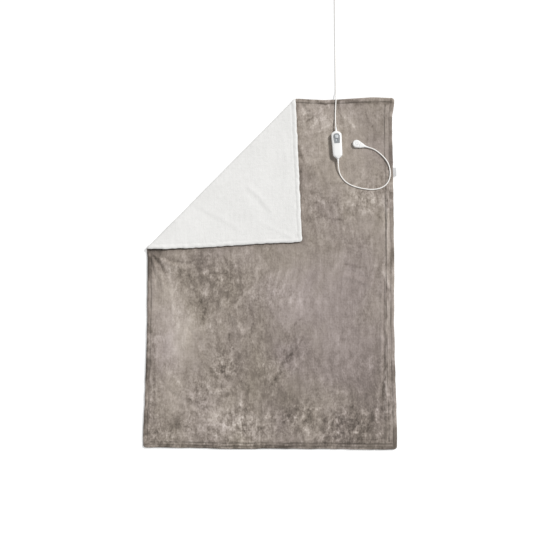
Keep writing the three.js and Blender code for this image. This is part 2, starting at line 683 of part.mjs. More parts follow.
function mainsPlugBody() {
  const [width, length, height] = PLUG_BODY;
  const half = [[0, -7, 4], [10, -width / 2 + 3, 5], [length, -width / 2, 4]];
  const shape = outline([...half, ...half.toReversed().map(([x, y, rounding]) => [x, -y, rounding])]);
  return slab(shape, 0, height, { edge: 2, segments: 3 });
}

function makeMainsPlug() {
  const group = new THREE.Group();
  const [, length, height] = PLUG_BODY;
  part(group, 'mains_plug_body', mainsPlugBody(), whitePlastic);
  part(group, 'mains_plug_relief',
    lyingRod(BOOT_TIP, 4.8, MAINS_PLUG_BOOT, 'x', -MAINS_PLUG_BOOT - GAP, height / 2), whitePlastic);
  [-1, 1].forEach((side, i) => part(group, `mains_plug_pin_${i + 1}`,
    lyingRod(PIN_DIAMETER / 2, PIN_DIAMETER / 2, PIN_LENGTH, 'x', length + GAP, height / 2,
      (side * PIN_SPACING) / 2, 10), metal));
  group.position.set(...MAINS_PLUG_PLACE);
  return group;
}

// The lead from the plug in the socket round to the hand control, lying on the plush.
const LOOP_LEAD = [
  [511.6, 632.6, 16.5], [523, 629, 16.2], [534, 624.6, 15.3], [546, 618, 14.6], [560, 607.5, 14.5],
  [575, 594, 14.5], [590, 577.5, 14.5], [602, 560, 14.5], [611, 540, 14.5], [616, 518, 14.5],
  [617, 495, 14.5], [613.5, 472, 14.5], [604.5, 451, 14.5], [590, 434, 14.5], [570, 421.5, 14.5],
  [545, 414.5, 14.5], [515, 412.5, 14.5], [483, 416, 14.5], [452, 422.5, 14.5], [424, 431.5, 14.5],
  [400, 443.5, 14.5], [380, 460, 14.5], [365, 479.5, 14.8], [355.5, 499.5, 16.8], [351, 518, 20.6],
  [349.3, 533, 23.1], [348.6, 544.7, 23.65],
];

// The mains lead from the hand control over the head edge and along the floor to its coil.
const MAINS_LEAD = [
  [337.6, 741.2, 23.65], [336.9, 753, 23.2], [336.4, 767, 21.4], [336.2, 783, 18.2], [336.4, 801, 15.4],
  [337, 822, 14.5], [338, 846, 14.5], [339.4, 870, 14.6], [340.4, 889, 15], [341, 905, 14.4],
  [341.4, 920, 11], [341.6, 936, 6.2], [341.6, 953, 3.6], [341.4, 976, 3.2], [341.2, 1030, 3.2],
  [341, 1100, 3.2], [341, 1180, 3.2], [341, 1260, 3.2], [341, 1340, 3.2], [341, 1420, 3.2],
  [341, 1486, 3.4],
];

// The short end of the mains lead from its coil to its plug.
const MAINS_TAIL = [
  [415.5, 1548, 10.6], [424, 1548.2, 9.6], [433, 1548.4, 8], [442, 1548.5, 7.1], [450.5, 1548.5, 6.85],
];

function makeCords() {
  const group = new THREE.Group();
  part(group, 'loop_lead', cordTube(LOOP_LEAD), cordSheath);
  part(group, 'mains_lead', cordTube(MAINS_LEAD), cordSheath);
  part(group, 'mains_tail', cordTube(MAINS_TAIL), cordSheath);
  part(group, 'mains_coil', coilRing(), cordSheath);
  part(group, 'cable_tie', cableTie(), darkPart);
  group.add(makeMainsPlug());
  return group;
}

const heatedThrow = new THREE.Group();
heatedThrow.add(makeThrow(), makeCorner(), makeControl(), makeSocket(), makePlug(), makeCords());

export default heatedThrow;
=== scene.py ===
"""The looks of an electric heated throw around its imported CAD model. Metres, +Z up, +Y towards the head end.

The throw is plush on top and fleece underneath, and its upper left corner is folded over. Each cloth is cut
flat on a grid, shaped with its hems and wrinkles, and then bent over the fold by one function.
"""
import json
import math

import bmesh
import bpy
import numpy as np
from mathutils import Matrix, Vector


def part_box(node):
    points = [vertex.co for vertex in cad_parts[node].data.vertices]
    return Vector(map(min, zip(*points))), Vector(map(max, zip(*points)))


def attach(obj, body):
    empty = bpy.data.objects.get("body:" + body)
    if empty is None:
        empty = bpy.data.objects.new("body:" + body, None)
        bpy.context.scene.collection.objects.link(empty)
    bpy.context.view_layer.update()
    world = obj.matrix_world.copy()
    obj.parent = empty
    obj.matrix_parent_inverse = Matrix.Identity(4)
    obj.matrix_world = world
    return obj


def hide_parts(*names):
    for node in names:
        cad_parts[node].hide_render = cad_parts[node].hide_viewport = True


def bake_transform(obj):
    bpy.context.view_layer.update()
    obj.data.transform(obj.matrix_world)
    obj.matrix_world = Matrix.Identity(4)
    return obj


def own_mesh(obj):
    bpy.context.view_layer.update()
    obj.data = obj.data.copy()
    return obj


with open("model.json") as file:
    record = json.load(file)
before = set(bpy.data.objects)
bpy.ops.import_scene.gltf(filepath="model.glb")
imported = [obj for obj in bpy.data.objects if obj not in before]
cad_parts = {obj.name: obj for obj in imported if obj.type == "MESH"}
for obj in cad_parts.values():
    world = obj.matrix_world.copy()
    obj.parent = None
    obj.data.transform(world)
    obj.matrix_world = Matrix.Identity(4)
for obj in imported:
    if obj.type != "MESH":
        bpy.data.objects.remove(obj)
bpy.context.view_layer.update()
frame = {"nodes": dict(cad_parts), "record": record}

# ---- sizes, as in the CAD model
THROW_WIDTH = 1.265
THROW_LENGTH = 1.8
CORNER_ROUND = 0.016
FLEECE_FACES = (0.0, 0.0045)  # lower and upper face of the layer, lying flat
CARRIER_FACES = (0.0048, 0.0056)
PLUSH_FACES = (0.0082, 0.0112)
FOLD_Z = 0.01135
FOLD_HEAD = np.array((0.1435, 0.9))  # where the fold crosses the head edge and the left edge
FOLD_SIDE = np.array((-0.6325, 0.092))
FOLD_ALONG = (FOLD_SIDE - FOLD_HEAD) / np.linalg.norm(FOLD_SIDE - FOLD_HEAD)
FOLD_OUT = np.array((FOLD_ALONG[1], -FOLD_ALONG[0]))
FOLD_USES = math.pi * (FOLD_Z - sum(CARRIER_FACES) / 2)  # the width of throw that the bend takes up

CONTROL_CENTRE = (0.343, 0.645, 0.0115)
CONTROL_TURN = math.radians(3.2)
SOCKET_CENTRE = (0.445, 0.653, 0.0)
SOCKET_TURN = math.radians(-17)
CONTROL_HALF = (0.028, 0.075)  # half the room the hand control takes on the plush, across and along
PLUG_REACH = 0.07  # the room the socket and its plug take, from the socket's centre, and half its width
PLUG_HALF_WIDTH = 0.021
MAINS_PLUG_CENTRE = (0.4713, 1.5485, 0.0)

CORD_RADIUS = 0.003
CORD_STEP = 0.004  # between points along a cord
CORD_CLEAR = 0.004  # the plush stays level this far from a cord's middle
COIL_CENTRE = (0.383, 1.512)
COIL_RADII = (0.042, 0.024)  # the outmost and inmost turns
COIL_HEIGHTS = (0.0048, 0.0108)  # the two layers of turns
COIL_TOP_TURNS = 2.25
COIL_TURN_POINTS = 48


# ---- camera
def make_camera():
    data = bpy.data.cameras.new("photo_camera")
    data.lens = 50
    data.sensor_width = 36
    camera = new_object("photo_camera", data)
    camera.location = (0.0225, -0.4823, 3.8702)
    camera.rotation_euler = (0.11655, 0, 0)
    bpy.context.scene.camera = camera


# ---- small tools
def ease(t):
    """0 below 0, 1 above 1, and a smooth step between."""
    t = np.clip(t, 0, 1)
    return t * t * (3 - 2 * t)


BUMP_TABLE = 97  # bumps repeat after so many cells


def bumps(x, y, cell, seed):
    """A smooth random height from -1 to 1 at each place, with bumps about one cell across."""
    heights = np.random.default_rng(seed).uniform(-1, 1, (BUMP_TABLE, BUMP_TABLE))
    u, v = x / cell + 500, y / cell + 500
    i, j = np.floor(u).astype(int), np.floor(v).astype(int)
    a, b = ease(u - i), ease(v - j)
    h = [[heights[(i + p) % BUMP_TABLE, (j + q) % BUMP_TABLE] for q in (0, 1)] for p in (0, 1)]
    return (h[0][0] * (1 - a) + h[1][0] * a) * (1 - b) + (h[0][1] * (1 - a) + h[1][1] * a) * b


def hump(off, half_width):
    """1 where off is nothing, and smoothly down to 0 past the half width."""
    return np.exp(-((off / half_width) ** 2))


def way_to(x, y, line):
    """How far each place is from a line of points."""
    best = np.full(np.shape(x), 1e9)
    for (ax, ay), (bx, by) in zip(line[:-1], line[1:]):
        dx, dy = bx - ax, by - ay
        t = np.clip(((x - ax) * dx + (y - ay) * dy) / (dx * dx + dy * dy), 0, 1)
        best = np.minimum(best, np.hypot(x - ax - t * dx, y - ay - t * dy))
    return best


def metres(*lengths):
    """Lengths given in millimetres."""
    return tuple(v / 1000 for v in lengths)


def read_lines(rows):
    """Rows of a strength, and in millimetres a half width and a line's x, y, x, y and so on."""
    return [(strength, half_width / 1000, [metres(*p) for p in zip(line[::2], line[1::2])])
            for strength, half_width, *line in rows]


def between(a, b, low, high, s):
    """What is at s, where a is at low and b at high."""
    return (a * (high - s) + b * (s - low)) / (high - low)


def smooth_line(points, step):
    """The centripetal Catmull-Rom curve through the points, as points about one step apart."""
    p = [np.array(q, float) for q in points]
    p = [2 * p[0] - p[1], *p, 2 * p[-1] - p[-2]]
    out = []
    for a, b, c, d in zip(p, p[1:], p[2:], p[3:]):
        gaps = [max(np.linalg.norm(v - u), 1e-9) ** 0.5 for u, v in ((a, b), (b, c), (c, d))]
        at_a, at_b, at_c, at_d = np.cumsum([0, *gaps])
        count = max(1, round(np.linalg.norm(c - b) / step))
        for k in range(count):
            s = at_b + (at_c - at_b) * k / count
            bc = between(b, c, at_b, at_c, s)
            abc = between(between(a, b, at_a, at_b, s), bc, at_a, at_c, s)
            bcd = between(bc, between(c, d, at_c, at_d, s), at_b, at_d, s)
            out.append(between(abc, bcd, at_b, at_c, s))
    return [*out, p[-2]]


def new_object(name, data):
    piece = bpy.data.objects.new(name, data)
    bpy.context.scene.collection.objects.link(piece)
    return piece


def new_mesh(name, points, faces, sharp=None):
    """A smooth-shaded piece, with edges over the sharp angle in degrees left sharp."""
    mesh = bpy.data.meshes.new(name)
    mesh.from_pydata([tuple(p) for p in points], [], [tuple(f) for f in faces])
    mesh.validate()
    mesh.shade_smooth()
    if sharp:
        mesh.set_sharp_from_angle(angle=math.radians(sharp))
    return new_object(name, mesh)


def strip(first, second, closed=False):
    """Faces between two rows of point numbers. They face the other way when the rows change places."""
    if closed:
        first, second = [*first, first[0]], [*second, second[0]]
    return [(a, b, d, c) for a, b, c, d in zip(first, first[1:], second, second[1:])]


def skinned(name, points, sides, sharp, flip=False):
    """A closed piece through rings of so many points, filled in at both ends."""
    rings = [range(k, k + sides) for k in range(0, len(points), sides)]
    faces = [face for low, high in zip(rings, rings[1:]) for face in strip(high, low, closed=True)]
    faces += [rings[0], rings[-1][::-1]]
    return new_mesh(name, points, [face[::-1] for face in faces] if flip else faces, sharp)


def paint(piece, material):
    piece.data.materials.clear()
    piece.data.materials.append(material)
    return piece


# ---- materials
class Finish:
    """A Principled material that is built up node by node."""

    def __init__(self, name, roughness, **settings):
        self.material = bpy.data.materials.new(name)
        self.material.use_nodes = True
        self.tree = self.material.node_tree
        self.shader = self.tree.nodes["Principled BSDF"]
        self.shader.inputs["Roughness"].default_value = roughness
        for socket, value in settings.items():
            self.shader.inputs[socket.replace("_", " ")].default_value = value
        self.place = self.node("TexCoord").outputs["Object"]

    def node(self, kind, inputs=None, **settings):
        node = self.tree.nodes.new("ShaderNode" + kind)
        for key, value in settings.items():
            setattr(node, key, value)
        for key, value in (inputs or {}).items():
            self.feed(node.inputs[key], value)
        return node

    def feed(self, socket, value):
        if isinstance(value, bpy.types.NodeSocket):
            self.tree.links.new(value, socket)
        else:
            socket.default_value = value

    def flat_place(self):
        """Places are read on the cloth as it was cut, so a pattern runs on over the fold."""
        self.place = self.node("Attribute", attribute_name="cut_place").outputs["Vector"]

    def attribute(self, name):
        return self.node("Attribute", attribute_name=name).outputs["Fac"]

    def noise(self, scale, detail=3.0, roughness=0.55, distortion=0.0):
        """Noise about 0.5, of so many bumps a metre along x, y and z."""
        place = self.node("Mapping", {"Vector": self.place, "Scale": scale}).outputs[0]
        return self.node("TexNoise", {
            "Vector": place, "Scale": 1.0, "Detail": detail, "Roughness": roughness, "Distortion": distortion,
        }).outputs["Fac"]

    def bend_place(self, scale, reach):
        """From here on, places are pushed about by a slow noise, so that strokes bend."""
        slow = self.node("Mapping", {"Vector": self.place, "Scale": scale}).outputs[0]
        push = self.node("TexNoise", {"Vector": slow, "Scale": 1.0, "Detail": 1.0}).outputs["Color"]
        away = self.node("VectorMath", {0: push, 1: (0.5, 0.5, 0.5)}, operation="SUBTRACT").outputs[0]
        moves = {0: away, 1: (reach, reach, 0), 2: self.place}
        self.place = self.node("VectorMath", moves, operation="MULTIPLY_ADD").outputs[0]

    def spread(self, value, low, high):
        """0 at low and 1 at high, with a smooth step between."""
        return self.node("MapRange", {"Value": value, "From Min": low, "From Max": high},
                         interpolation_type="SMOOTHSTEP").outputs[0]

    def wave(self, pitch, direction, distortion=0.0):
        """Bands across one direction, one pitch apart in metres."""
        return self.node("TexWave", {
            "Vector": self.place, "Scale": math.pi / 10 / pitch, "Distortion": distortion, "Detail Scale": 3.0,
        }, bands_direction=direction).outputs["Fac"]

    def math(self, operation, a, b=0.0, c=0.0):
        return self.node("Math", {0: a, 1: b, 2: c}, operation=operation).outputs[0]

    def total(self, *terms):
        """The sum of weight x (value - 0.5), about 0.5."""
        total = 0.5
        for weight, value in terms:
            centred = self.math("SUBTRACT", value, 0.5)
            total = self.math("MULTIPLY_ADD", centred, weight, total)
        return total

    def ramp(self, value, *stops):
        node = self.node("ValToRGB", {"Fac": value})
        elements = node.color_ramp.elements
        for k, (at, colour) in enumerate(stops):
            element = elements[k] if k < 2 else elements.new(at)
            element.position = at
            element.color = (*colour, 1)
        return node.outputs["Color"]

    def mix(self, factor, a, b, blend="MIX"):
        a, b = ((*v, 1) if isinstance(v, tuple) else v for v in (a, b))
        return self.node("Mix", {0: factor, 6: a, 7: b}, data_type="RGBA", blend_type=blend).outputs[2]

    def colour(self, value):
        self.feed(self.shader.inputs["Base Color"], value)

    def rough(self, value, low, high):
        spread = self.node("MapRange", {"Value": value, "To Min": low, "To Max": high}).outputs[0]
        self.feed(self.shader.inputs["Roughness"], spread)

    def bump(self, height, distance, strength=1.0):
        bump = self.node("Bump", {"Height": height, "Distance": distance, "Strength": strength})
        self.feed(self.shader.inputs["Normal"], bump.outputs["Normal"])


def plush_finish():
    """Brushed plush: the pile lies in soft swathes and bent strokes, and breaks up where it is crushed. Its
    colour also holds painted glints, and painted shade in its furrows and stitch grooves.
    """
    f = Finish("plush", 0.85, Sheen_Weight=0.2, Sheen_Roughness=0.45, Sheen_Tint=(1, 0.97, 0.94, 1),
               Specular_IOR_Level=0.15)
    f.flat_place()
    crush = f.attribute("crush")
    weave = f.total((0.5, f.noise((170, 14, 1), 2, 0.6)), (0.35, f.noise((14, 150, 1), 2, 0.5)))
    pile = f.noise((900, 500, 900), 2, 0.6)
    speckle = f.noise((120, 80, 1), 3, 0.6, 0.2)
    f.bend_place((2.6, 2.6, 2.6), 0.10)
    swathes = f.spread(f.noise((4.5, 3.5, 1), 3, 0.5), 0.38, 0.62)
    strokes = f.noise((34, 7, 1), 3, 0.55)
    blots = f.noise((34, 22, 1), 5, 0.6, 0.25)
    away = f.math("ABSOLUTE", f.math("SUBTRACT", f.noise((20, 15, 1), 3, 0.5), 0.5))
    furrows = f.spread(away, 0.06, 0.0)
    glints = f.spread(blots, 0.58, 0.70)
    # the furrows darken the colour as painted shade in the creases, and the glints lighten it as painted
    # highlights
    rough = f.total((1.0, blots), (0.7, speckle), (-0.05, furrows), (0.09, glints), (0.2, strokes))
    rough = f.math("MULTIPLY", f.math("SUBTRACT", rough, 0.5), crush)
    smooth = f.total((0.30, strokes), (0.05, swathes), (0.22, blots), (0.3, weave), (0.2, speckle))
    light = f.math("ADD", f.math("ADD", rough, f.attribute("nap_and_shade")), smooth)
    shade = f.ramp(light, (0.0, (0.105, 0.089, 0.074)), (0.35, (0.221, 0.190, 0.162)),
                   (0.5, (0.298, 0.260, 0.226)), (0.65, (0.383, 0.339, 0.299)), (1.0, (0.60, 0.550, 0.50)))
    hue = f.math("ADD", f.attribute("mauve"), f.noise((3.5, 2.5, 1), 3, 0.6))
    tint = f.ramp(hue, (0.3, (1.01, 1.0, 0.96)), (0.8, (0.99, 0.960, 1.025)))
    toned = f.mix(1.0, shade, tint, "MULTIPLY")
    # the stitch lines are darkened towards near black here as painted shade in their grooves
    f.colour(f.mix(f.attribute("seam_shade"), toned, (0.045, 0.038, 0.030)))
    f.bump(f.total((1.0, blots), (0.5, speckle), (-0.10, furrows), (0.5, strokes), (0.3, pile)), 0.003, 0.7)
    return f.material


def fleece_finish():
    """White fleece: short even curls, with the faint lines of its knitted ground."""
    f = Finish("fleece", 0.95, Sheen_Weight=0.15, Sheen_Roughness=0.5, Specular_IOR_Level=0.12)
    f.flat_place()
    curls = f.noise((210, 210, 210), 3, 0.6, 0.4)
    tufts = f.noise((70, 60, 60), 3, 0.55, 0.6)
    wales = f.total((0.6, f.noise((150, 9, 1), 2, 0.5)), (0.8, f.noise((9, 150, 1), 2, 0.5)))
    broad = f.noise((5, 5, 5), 3, 0.5)
    tone = f.total((0.2, curls), (0.3, tufts), (0.28, wales), (0.35, broad))
    base = f.ramp(tone, (0.2, (0.64, 0.635, 0.62)), (0.5, (0.745, 0.74, 0.725)), (0.8, (0.82, 0.815, 0.80)))
    # the stitch lines are greyed a little here as painted shade in their grooves
    f.colour(f.mix(f.attribute("seam_shade"), base, (0.55, 0.54, 0.52)))
    f.bump(f.total((1.0, curls), (0.8, tufts), (0.3, wales)), 0.0018, 0.5)
    return f.material


def moulded(name, colour, roughness, **settings):
    """Moulded plastic with a faint grain and slightly uneven tone."""
    f = Finish(name, roughness, **settings)
    tone = f.noise((35, 35, 35), 3)
    dark = tuple(c * 0.94 for c in colour)
    f.colour(f.mix(tone, dark, colour))
    f.rough(f.noise((90, 90, 90), 4, 0.6), roughness - 0.06, roughness + 0.06)
    f.bump(f.noise((1500, 1500, 1500), 2), 0.00002, 0.4)
    return f.material


def metal(name, colour, roughness):
    f = Finish(name, roughness, Metallic=1.0)
    f.colour(f.mix(f.noise((60, 60, 60), 3), tuple(c * 0.85 for c in colour), colour))
    f.rough(f.noise((300, 900, 300), 3), roughness - 0.08, roughness + 0.1)
    return f.material


def woven(name, colour, pitch, roughness=0.8):
    """A plain woven or nonwoven cloth."""
    f = Finish(name, roughness)
    weave = f.total((0.5, f.wave(pitch, "X")), (0.5, f.wave(pitch, "Y")), (0.6, f.noise((120, 120, 120), 3)))
    f.colour(f.ramp(weave, (0.2, tuple(c * 0.82 for c in colour)), (0.8, colour)))
    f.bump(weave, 0.0002, 0.5)
    return f.material


def cord_finish():
    f = Finish("cord_sheath", 0.42)
    f.colour(f.mix(f.noise((25, 25, 25), 3), (0.86, 0.835, 0.80), (0.91, 0.89, 0.86)))
    f.bump(f.noise((700, 700, 700), 2), 0.00005, 0.3)
    return f.material


def board_finish():
    f = Finish("board", 0.5)
    f.colour(f.ramp(f.wave(0.0032, "Y", 2.0), (0.46, (0.02, 0.10, 0.045)), (0.54, (0.035, 0.16, 0.07))))
    f.bump(f.noise((400, 400, 400), 2), 0.00005, 0.3)
    return f.material


def glass_finish():
    f = Finish("glass", 0.08, Transmission_Weight=0.85, IOR=1.48)
    f.colour(f.mix(f.noise((80, 80, 80), 2), (0.80, 0.85, 0.84), (0.90, 0.94, 0.93)))
    return f.material


# ---- cords, as points in millimetres: from the hand control to the coil, from the coil to the mains plug, and
# from the plug on the throw to the hand control
MAINS_LEAD = [metres(*p) for p in (
    (337.6, 741.2, 23.65), (336.9, 753, 23.2), (336.4, 767, 21.4), (336.2, 783, 18.2), (336.4, 801, 15.4),
    (337, 822, 14.5), (338, 846, 14.5), (339.4, 870, 14.6), (340.4, 889, 15), (341, 905, 14.4),
    (341.4, 920, 11), (341.6, 936, 6.2), (341.6, 953, 3.6), (341.4, 976, 3.2), (341.2, 1030, 3.2),
    (341, 1100, 3.2), (341, 1180, 3.2), (341, 1260, 3.2), (341, 1340, 3.2), (341, 1420, 3.2),
    (341, 1486, 3.4),
)]
MAINS_OVER_THROW = 11  # how many of its points lie over the throw
MAINS_TAIL = [metres(*p) for p in (
    (415.5, 1548.2, 10.6), (424, 1548.2, 9.6), (433, 1548.4, 8), (442, 1548.5, 7.1), (450.5, 1548.5, 6.85),
)]
LOOP_LEAD = [metres(*p) for p in (
    (511.6, 632.6, 16.5), (523, 629, 16.2), (534, 624.6, 15.3), (546, 618, 14.6), (560, 607.5, 14.5),
    (575, 594, 14.5), (590, 577.5, 14.5), (602, 560, 14.5), (611, 540, 14.5), (616, 518, 14.5),
    (617, 495, 14.5), (613.5, 472, 14.5), (604.5, 451, 14.5), (590, 434, 14.5), (570, 421.5, 14.5),
    (545, 414.5, 14.5), (515, 412.5, 14.5), (483, 416, 14.5), (452, 422.5, 14.5), (424, 431.5, 14.5),
    (400, 443.5, 14.5), (380, 460, 14.5), (365, 479.5, 14.8), (355.5, 499.5, 16.8), (351, 518, 20.6),
    (349.3, 533, 23.1), (348.6, 544.7, 23.65),
)]


def coil_points():
    """Wound clockwise from the left: inwards on the floor, up at the middle, and outwards on top."""
    outer, inner = COIL_RADII
    low, high = COIL_HEIGHTS
    pitch = 2 * CORD_RADIUS
    inward = (outer - inner) / pitch
    up = inward + 1
    end = up + COIL_TOP_TURNS
    points = []
    for k in range(round(end * COIL_TURN_POINTS) + 1):
        turn = k / COIL_TURN_POINTS
        radius = outer - pitch * turn if turn < inward else inner + pitch * max(0, turn - up)
        angle = math.pi - 2 * math.pi * turn
        z = low + (high - low) * float(ease((turn - inward - 0.4) / 0.6))
        points.append((COIL_CENTRE[0] + radius * math.cos(angle), COIL_CENTRE[1] + radius * math.sin(angle), z))
    return points


def length_of(points):
    return float(sum(np.linalg.norm(np.subtract(b, a)) for a, b in zip(points, points[1:])))


def mains_cord():
    """The mains lead from the hand control to its plug, and its length."""
    points = [*smooth_line(MAINS_LEAD, 0.006), *coil_points(), *smooth_line(MAINS_TAIL, 0.003)]
    points = smooth_line(points, CORD_STEP)
    data = bpy.data.curves.new("mains_cord", "CURVE")
    data.dimensions = "3D"
    data.bevel_depth = CORD_RADIUS
    data.bevel_resolution = 5
    data.use_fill_caps = True
    spline = data.splines.new("POLY")
    spline.points.add(len(points) - 1)
    for point, place in zip(spline.points, points):
        point.co = (*place, 1)
    spline.use_smooth = True
    return new_object("mains_cord", data), length_of(points)


def tube(name, points, radius, sides=16):
    """A round tube along the points, with a closed end at each."""
    points = [Vector(p) for p in points]
    rings = []
    across = None
    for i, p in enumerate(points):
        heading = (points[min(i + 1, len(points) - 1)] - points[max(i - 1, 0)]).normalized()
        side = heading.cross(Vector((0, 0, 1))) if across is None else across - heading * across.dot(heading)
        across = side.normalized()
        over = heading.cross(across)
        for k in range(sides):
            angle = 2 * math.pi * k / sides
            rings.append(p + (across * math.cos(angle) + over * math.sin(angle)) * radius)
    return skinned(name, rings, sides, sharp=50)


# ---- cloth
HEM_BAND = 0.048  # the width of finer grid along each edge
FINE_STEP = 0.0024
STITCH_LINES = {"left": (0.020,), "right": (0.019, 0.042), "foot": (0.013, 0.028), "head": (0.023,)}


def grid_stops(length, step):
    """Places along one side, closer together along the two hems."""
    hem = np.arange(0, HEM_BAND, FINE_STEP)
    middle = np.linspace(HEM_BAND, length - HEM_BAND, round((length - 2 * HEM_BAND) / step) + 1)
    return np.concatenate([hem, middle, length - hem[::-1]]) - length / 2


def past_fold(x, y):
    return (x - FOLD_HEAD[0]) * FOLD_OUT[0] + (y - FOLD_HEAD[1]) * FOLD_OUT[1]


class Cut:
    """Places on the throw as it was cut: x and y, the way in from each edge, and the way past the fold."""

    def __init__(self, x, y):
        self.x, self.y = x, y
        self.left, self.right = x + THROW_WIDTH / 2, THROW_WIDTH / 2 - x
        self.foot, self.head = y + THROW_LENGTH / 2, THROW_LENGTH / 2 - y
        self.inset = np.minimum(np.minimum(self.left, self.right), np.minimum(self.foot, self.head))
        self.past = past_fold(x, y)

    def stitches(self, half_width):
        """1 on a line of stitches and 0 away from it."""
        near = np.zeros_like(self.x)
        for side, lines in STITCH_LINES.items():
            for line in lines:
                clear = self.inset > line - 2 * half_width
                off = getattr(self, side) - line - 0.0022 * bumps(self.x, self.y, 0.06, 10)
                near = np.maximum(near, clear * hump(off, half_width))
        return near


# How far in from a straight line each edge lies, in millimetres: along y for the sides and along x for the ends
EDGE_INSETS = {
    "left": ((-900, 0), (-760, 0), (-680, 4), (-500, 6), (-350, 9), (-200, 7), (-50, 5), (60, 3), (130, -5),
        (300, -8), (500, -5), (720, 0), (900, 0)),
    "right": ((-900, 4), (-700, 4), (-500, 7), (-250, 8), (-100, 4), (100, 1), (600, -1), (740, 1), (810, -3),
        (860, -11), (900, -14)),
    "foot": ((-630, 8), (-400, 6), (-250, 2), (0, 2), (350, 1), (500, -3), (630, 0)),
    "head": ((-630, 0), (140, 1), (200, 4), (280, 8), (360, 4), (430, 0), (530, -6), (630, -2)),
}


def outline_places(cut):
    """Where the cut cloth's places are once its corners are rounded and its edges waver."""
    r = CORNER_ROUND
    cx, cy = THROW_WIDTH / 2 - r, THROW_LENGTH / 2 - r
    u, v = (np.clip(np.abs(value) - c, 0, None) / r for value, c in ((cut.x, cx), (cut.y, cy)))
    corner = (u > 0) & (v > 0)
    x = np.where(corner, np.sign(cut.x) * (cx + r * u * np.sqrt(1 - v * v / 2)), cut.x)
    y = np.where(corner, np.sign(cut.y) * (cy + r * v * np.sqrt(1 - u * u / 2)), cut.y)
    for seed, (side, insets) in enumerate(EDGE_INSETS.items()):
        along = cut.y if side in ("left", "right") else cut.x
        inward = np.interp(along, *zip(*(metres(*p) for p in insets)))
        inward += 0.0012 * bumps(along, along * 0, 0.04, seed + 11)
        inward += 0.0016 * (cut.past > 0.03) * bumps(along, along * 0, 0.018, seed + 21)
        shift = inward * ease(1 - getattr(cut, side) / 0.12) * (1 if side in ("left", "foot") else -1)
        if side in ("left", "right"):
            x = x + shift
        else:
            y = y + shift
    return x, y


def fold_over(x, y, z):
    """Bends places past the fold over the top of the throw."""
    past = np.clip(past_fold(x, y), 0, None)
    turn = np.minimum(past / FOLD_USES, 1)
    radius = FOLD_Z - z
    out = np.where(past < FOLD_USES, radius * np.sin(math.pi * turn), FOLD_USES - past)
    shift = out - past
    level = np.where(past > 0, FOLD_Z - radius * np.cos(math.pi * turn), z)
    return x + shift * FOLD_OUT[0], y + shift * FOLD_OUT[1], np.maximum(level, 0)


# The parts of a cloth, by how far past the start of the fold they begin and end
REGIONS = {"body": (-math.inf, 0.0), "fold": (0.0, FOLD_USES), "corner": (FOLD_USES, math.inf)}
FOLD_CUTS = 14


def flat_region(region, step):
    """The part of the flat grid on one side of the fold, as places and faces."""
    xs, ys = grid_stops(THROW_WIDTH, step), grid_stops(THROW_LENGTH, step)
    grid = bmesh.new()
    past = past_fold(*np.meshgrid(xs, ys))
    low, high = REGIONS[region]
    keep = (past > low - 3 * step) & (past < high + 3 * step)
    index = {(j, i): grid.verts.new((xs[i], ys[j], 0)) for j, i in zip(*np.nonzero(keep))}
    for j, i in index:
        ring = [(j, i), (j, i + 1), (j + 1, i + 1), (j + 1, i)]
        if all(place in index for place in ring):
            grid.faces.new([index[place] for place in ring])
    lines = [v for v in (low, high) if math.isfinite(v)]
    if region == "fold":
        lines = np.linspace(low, high, FOLD_CUTS + 1)
    for line in lines:
        bmesh.ops.bisect_plane(
            grid, geom=[*grid.verts, *grid.edges, *grid.faces], dist=1e-6,
            plane_co=(*(FOLD_HEAD + FOLD_OUT * line), 0), plane_no=(*FOLD_OUT, 0),
            clear_inner=bool(line == low), clear_outer=bool(line == high),
        )
    bmesh.ops.delete(grid, geom=[v for v in grid.verts if not v.link_faces], context="VERTS")
    grid.verts.index_update()
    places = np.array([v.co[:2] for v in grid.verts])
    faces = [[v.index for v in f.verts] for f in grid.faces]
    grid.free()
    return places, faces


def cloth_piece(name, region, step, upper, under, marks):
    """A closed piece of one cloth in one region, between the heights that upper and under give.
    marks gives what its material reads from it."""
    places, faces = flat_region(region, step)
    cut = Cut(places[:, 0], places[:, 1])
    x, y = outline_places(cut)
    count = len(places)
    heights = [upper(cut), under(cut)]
    points = [np.column_stack(fold_over(x, y, height)) for height in heights]
    flat = [np.column_stack([cut.x, cut.y, height]) for height in heights]
    edges = {edge: None for face in faces for edge in zip(face, face[1:] + face[:1])}
    closed = faces + [[v + count for v in reversed(face)] for face in faces]
    closed += [[b, a, a + count, b + count] for a, b in edges if (b, a) not in edges]
    piece = new_mesh(name, np.concatenate(points), closed, sharp=55)
    place = piece.data.attributes.new("cut_place", "FLOAT_VECTOR", "POINT")
    place.data.foreach_set("vector", np.concatenate(flat).astype(np.float32).ravel())
    for mark, values in marks(cut).items():
        attribute = piece.data.attributes.new(mark, "FLOAT", "POINT")
        attribute.data.foreach_set("value", np.tile(values, 2).astype(np.float32))
    return piece


def lip(inset, depth, width):
    """How far a face rounds off towards the edge."""
    return depth * np.clip(1 - inset / width, 0, 1) ** 2


